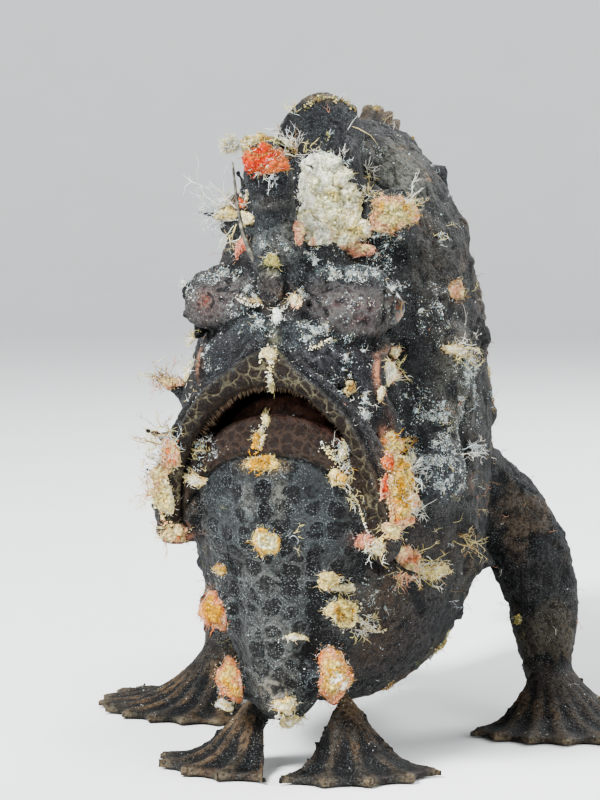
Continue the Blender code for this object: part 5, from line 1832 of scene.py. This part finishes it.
class FROGFISH_OT_grains(Operator):
    """Strews the skin with grains of silt"""

    bl_idname = "frogfish.grains"
    bl_label = "Grains"

    def execute(self, context):
        settings = context.scene.frogfish_growth
        surface = STORE["surface"]
        rng = np.random.default_rng(settings.seed + 2)
        clustered = ramp(-0.15, 0.4, noise(surface.points, 0.7, 161)) ** 2
        weight = (STORE["silt"] ** 1.6 + 0.0004) * (0.08 + clustered)
        heap = Heap()
        points, faces = OCTAHEDRON
        colours = (SILVER, linear("8fa1a6"), linear("b5b39d"), linear("dfe3de"), linear("77858a"))
        base = settings.grain * 1000
        for place, normal in scattered(surface, rng, settings.grains, weight):
            size = base * rng.choice((0.6, 1.0, 1.6, 2.4), p=(0.5, 0.32, 0.15, 0.03))
            shape = points * rng.uniform(0.5, 1.4, 3)
            shape = shape @ any_turn(rng).T * size + (place + normal * size * 0.4)
            colour = varied(colours[rng.integers(len(colours))], rng, 0.2)
            heap.add(shape, faces, colour, Vector(place))
        heap.finish("silt_grains", growth_material("silt", 0.75, 6000.0), smooth=False)
        return {"FINISHED"}


# ---- mouth and lure

TOOTH_ROWS = 3
TEETH_IN_ROW = 84
TEETH_TURN = 1.15  # radians from the middle to each end of a row, around the gape
VALVE_TURN = 1.02  # the same for the soft flap
VALVE_FOOT = 0.72  # foot and top of the flap, as shares of the gape
VALVE_TOP = 0.9
VALVE_FRONT = 4.2
LURE_PATH = ((-1.2, 3.9, 50.6), (-3.0, 3.8, 54.0), (-4.2, 4.4, 58.0), (-4.5, 3.8, 62.2))
LURE_LUMPS = 90
LURE_THREADS = 230


class FROGFISH_OT_teeth(Operator):
    """Builds the narrow band of fine teeth behind the upper lip"""

    bl_idname = "frogfish.teeth"
    bl_label = "Teeth"

    def execute(self, context):
        rng = np.random.default_rng(5)
        surface = STORE["surface"]
        heap = Heap()
        for row, turn in product(range(TOOTH_ROWS), np.linspace(-TEETH_TURN, TEETH_TURN, TEETH_IN_ROW)):
            turn += rng.uniform(-0.01, 0.01)
            x = (GAPE_HALF - 0.1) * math.sin(turn)
            z = GAPE_SPRING_Z + (GAPE_RISE - 0.1) * math.cos(turn)
            s = 1.7 + 0.65 * row + 3.2 * (1 - math.cos(turn))
            place, normal, _, _ = surface.tree.find_nearest(to_row(x, s, z))
            inward = (to_row(0.0, s + 0.5, GAPE_SPRING_Z + 3.0) - place).normalized()
            reach = rng.uniform(0.3, 0.7)
            path = [place - normal * 0.12, place + inward * reach * 0.5, place + inward * reach]
            strand(heap, path, 0.042, varied(linear("7d6a55"), rng, 0.3), place, 5)
        heap.finish("teeth", growth_material("tooth", 0.35, 3000.0))
        return {"FINISHED"}


class FROGFISH_OT_valve(Operator):
    """Builds the soft flap that stands behind the lower lip, across the gape"""

    bl_idname = "frogfish.valve"
    bl_label = "Mouth flap"

    def execute(self, context):
        choose()
        bpy.ops.mesh.primitive_grid_add(x_subdivisions=90, y_subdivisions=12, size=1.0)
        obj = bpy.context.object
        obj.name = "mouth_flap"
        points = positions(obj.data) / 1000
        across, up = points[:, 0] * 2, points[:, 1] + 0.5
        turn = VALVE_TURN * across
        share = VALVE_FOOT + (VALVE_TOP - VALVE_FOOT) * up * (1 - 0.35 * np.abs(across) ** 3)
        ripple = 0.1 * np.sin(38 * turn + 3 * up) * up
        ripple += 0.12 * noise(np.stack([9 * turn, 2 * up, up], 1), 1.0, 151)
        x = GAPE_HALF * share * np.sin(turn)
        z = GAPE_SPRING_Z + GAPE_RISE * share * np.cos(turn)
        s = VALVE_FRONT + 1.6 * up**2 + 3.4 * (1 - np.cos(turn)) + ripple
        move_to(obj.data, np.array([tuple(to_row(*place)) for place in zip(x, s, z)]))
        wall = obj.modifiers.new("wall", "SOLIDIFY")
        wall.thickness = 0.35 * MM
        wall.offset = 0.0
        apply_all(obj)
        in_edit_mode(bpy.ops.mesh.normals_make_consistent, inside=False)
        bpy.ops.object.shade_smooth()
        obj.data.materials.append(self.material())
        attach(obj, "root")
        return {"FINISHED"}

    def material(self):
        made, nodes, shader, place = new_material("mouth_flap")
        mottle = nodes.noise(place, 900.0, 4.0, 0.6)
        fine = nodes.noise(place, 4200.0, 3.0, 0.6)
        colour = nodes.mix(nodes.ramp(mottle, 0.35, 0.65), linear("221613"), linear("553930"))
        colour = nodes.mix(nodes.ramp(fine, 0.5, 0.7, 0.0, 0.35), colour, linear("857666"))
        nodes.feed(shader, "Base Color", colour, "Roughness", 0.45, "Normal", nodes.bump(fine, 0.6, 0.0001))
        return made


class FROGFISH_OT_lure(Operator):
    """Builds the lure: a thin ringed rod laid up beside the second spine, with a tuft for bait"""

    bl_idname = "frogfish.lure"
    bl_label = "Lure"

    def execute(self, context):
        rng = np.random.default_rng(9)
        settings = context.scene.frogfish_growth
        stops = [to_row(*place) for place in LURE_PATH]
        path = []
        for i in range(len(stops) - 1):
            before = stops[max(i - 1, 0)]
            after = stops[min(i + 2, len(stops) - 1)]
            for t in np.linspace(0, 1, 9)[: None if i == len(stops) - 2 else -1]:
                a = stops[i] + (stops[i + 1] - before) * t / 3
                b = stops[i + 1] - (after - stops[i]) * (1 - t) / 3
                path.append(a.lerp(b, t * t * (3 - 2 * t)))
        heap = Heap()
        strand(heap, path, 0.34, (0.5, 0.45, 0.4), path[0], 10)
        rod = heap.finish("lure_rod_skin", self.rod_material())
        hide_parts("lure_rod")

        heap = Heap()
        low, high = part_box("lure_bait")
        middle = (low + high) * 500
        half = (high - low) * 500
        ball = ball_template()
        for _ in range(LURE_LUMPS):
            aim = jolt(rng).normalized()
            out = aim * half * 0.36 * rng.uniform(0.2, 1.0)
            colour = (CREAM, OLIVE, TAN, WHITE)[rng.integers(4)]
            lump(heap, rng, middle + out, aim, settings.lump * 1000 * rng.uniform(0.6, 1.4), colour, ball)
        for _ in range(LURE_THREADS):
            aim = jolt(rng).normalized()
            start = middle + aim * half * 0.28
            colour = (PALE_YELLOW, WHITE, SILVER)[rng.integers(3)]
            grow(heap, rng, middle, start, aim + Vector((0, 0, 0.3)), 0.85, 0.032, colour, 1)
        bait = heap.finish("lure_tuft", bpy.data.materials["crust"])
        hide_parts("lure_bait")
        return {"FINISHED"}

    def rod_material(self):
        made, nodes, shader, place = new_material("lure_rod_rings")
        _, _, height = nodes.add("ShaderNodeSeparateXYZ", 0, place).outputs
        rings = nodes.math("SINE", nodes.times(height, 5200.0))
        cloud = nodes.noise(place, 1800.0, 3.0, 0.6)
        colour = nodes.mix(nodes.ramp(rings, 0.1, 0.6, 0.0, 0.5), linear("5e5a50"), linear("aaa690"))
        colour = nodes.mix(nodes.ramp(cloud, 0.4, 0.62, 0.8, 0.0), colour, linear("2c2a26"))
        nodes.feed(shader, "Base Color", colour, "Roughness", 0.5, "Normal", nodes.bump(cloud, 0.5, 0.00006))
        return made


# ---- stage


def area_light(name, place, aim, size, watts):
    light = bpy.data.lights.new(name, "AREA")
    light.energy = watts
    light.size = size
    obj = linked(name, light)
    obj.location = place
    obj.rotation_euler = (Vector(place) - Vector(aim)).to_track_quat("Z", "Y").to_euler()


class FROGFISH_OT_stage(Operator):
    """Sets out the floor, the lights and the camera"""

    bl_idname = "frogfish.stage"
    bl_label = "Stage"

    def execute(self, context):
        settings = context.scene.frogfish_stage
        floor = self.sweep(settings)
        made, nodes, shader, place = new_material("studio_floor")
        cloud = nodes.noise(place, 30.0, 3.0, 0.5)
        paler = tuple(min(1.0, c * 1.05) for c in settings.floor)
        nodes.feed(shader, "Base Color", nodes.mix(cloud, settings.floor, paler), "Roughness", 0.9)
        floor.data.materials.append(made)

        aim = to_row(0, 20, 36) * MM
        area_light("key", (-0.16, -0.42, 0.42), aim, 0.16, settings.key)
        area_light("fill", (0.46, -0.30, 0.22), aim, 0.30, settings.fill)
        area_light("rim", (0.18, 0.42, 0.40), aim, 0.22, settings.rim)

        context.scene.view_settings.look = "AgX - Medium High Contrast"
        world = bpy.data.worlds.new("soft_sky")
        context.scene.world = world
        world.use_nodes = True
        sky = world.node_tree.nodes["Background"]
        sky.inputs["Color"].default_value = (0.80, 0.83, 0.85, 1.0)
        sky.inputs["Strength"].default_value = settings.sky

        right, up, back, eye = view_axes()
        camera = linked("front_camera", bpy.data.cameras.new("front_camera"))
        camera.data.sensor_width = SENSOR
        camera.data.lens = LENS
        camera.data.clip_start = 0.01
        camera.location = eye * MM
        camera.rotation_euler = Matrix((right, up, back)).transposed().to_euler()
        context.scene.camera = camera
        return {"FINISHED"}

    def sweep(self, settings):
        """A round floor that curves up into a wall on every side."""
        choose()
        bpy.ops.mesh.primitive_circle_add(vertices=96, radius=settings.floor_radius, fill_type="NGON")
        floor = bpy.context.object
        floor.name = "floor"
        bpy.ops.object.mode_set(mode="EDIT")
        bend = settings.wall_bend
        before_out, before_up = settings.floor_radius, 0.0
        for k in range(1, 13):
            turn = math.radians(90 * k / 12)
            out, up = settings.floor_radius + bend * math.sin(turn), bend * (1 - math.cos(turn))
            bpy.ops.mesh.extrude_region_move(TRANSFORM_OT_translate={"value": (0, 0, up - before_up)})
            bpy.ops.transform.resize(value=(out / before_out, out / before_out, 1.0))
            before_out, before_up = out, up
            if k == 1:
                bpy.ops.mesh.select_mode(type="EDGE")
        bpy.ops.mesh.extrude_region_move(TRANSFORM_OT_translate={"value": (0, 0, settings.wall_height)})
        bpy.ops.mesh.delete(type="ONLY_FACE")
        bpy.ops.object.mode_set(mode="OBJECT")
        bpy.ops.object.shade_smooth()
        return floor


class FROGFISH_PT_panel(Panel):
    """Lists the pieces in the order in which they are built"""

    bl_idname = "FROGFISH_PT_panel"
    bl_label = "Frogfish"
    bl_space_type = "VIEW_3D"
    bl_region_type = "UI"
    bl_category = "Frogfish"

    def draw(self, context):
        for group in GROUPS:
            settings = getattr(context.scene, group)
            for name in settings.__annotations__:
                self.layout.prop(settings, name)
        for step in STEPS:
            self.layout.operator(step.bl_idname)


GROUPS = {
    "frogfish_skin": SkinSettings,
    "frogfish_growth": GrowthSettings,
    "frogfish_eyes": EyeSettings,
    "frogfish_stage": StageSettings,
}
STEPS = (
    FROGFISH_OT_skin,
    FROGFISH_OT_eyes,
    FROGFISH_OT_teeth,
    FROGFISH_OT_valve,
    FROGFISH_OT_crusts,
    FROGFISH_OT_tufts,
    FROGFISH_OT_grains,
    FROGFISH_OT_lure,
    FROGFISH_OT_stage,
)


def register():
    for group in GROUPS.values():
        bpy.utils.register_class(group)
    for name, group in GROUPS.items():
        setattr(bpy.types.Scene, name, PointerProperty(type=group))
    for step in (*STEPS, FROGFISH_PT_panel):
        bpy.utils.register_class(step)


def unregister():
    for step in reversed((*STEPS, FROGFISH_PT_panel)):
        bpy.utils.unregister_class(step)
    for name in GROUPS:
        delattr(bpy.types.Scene, name)
    for group in reversed(GROUPS.values()):
        bpy.utils.unregister_class(group)


def main():
    register()
    for step in STEPS:
        family, name = step.bl_idname.split(".")
        getattr(getattr(bpy.ops, family), name)()


if __name__ == "__main__":
    main()
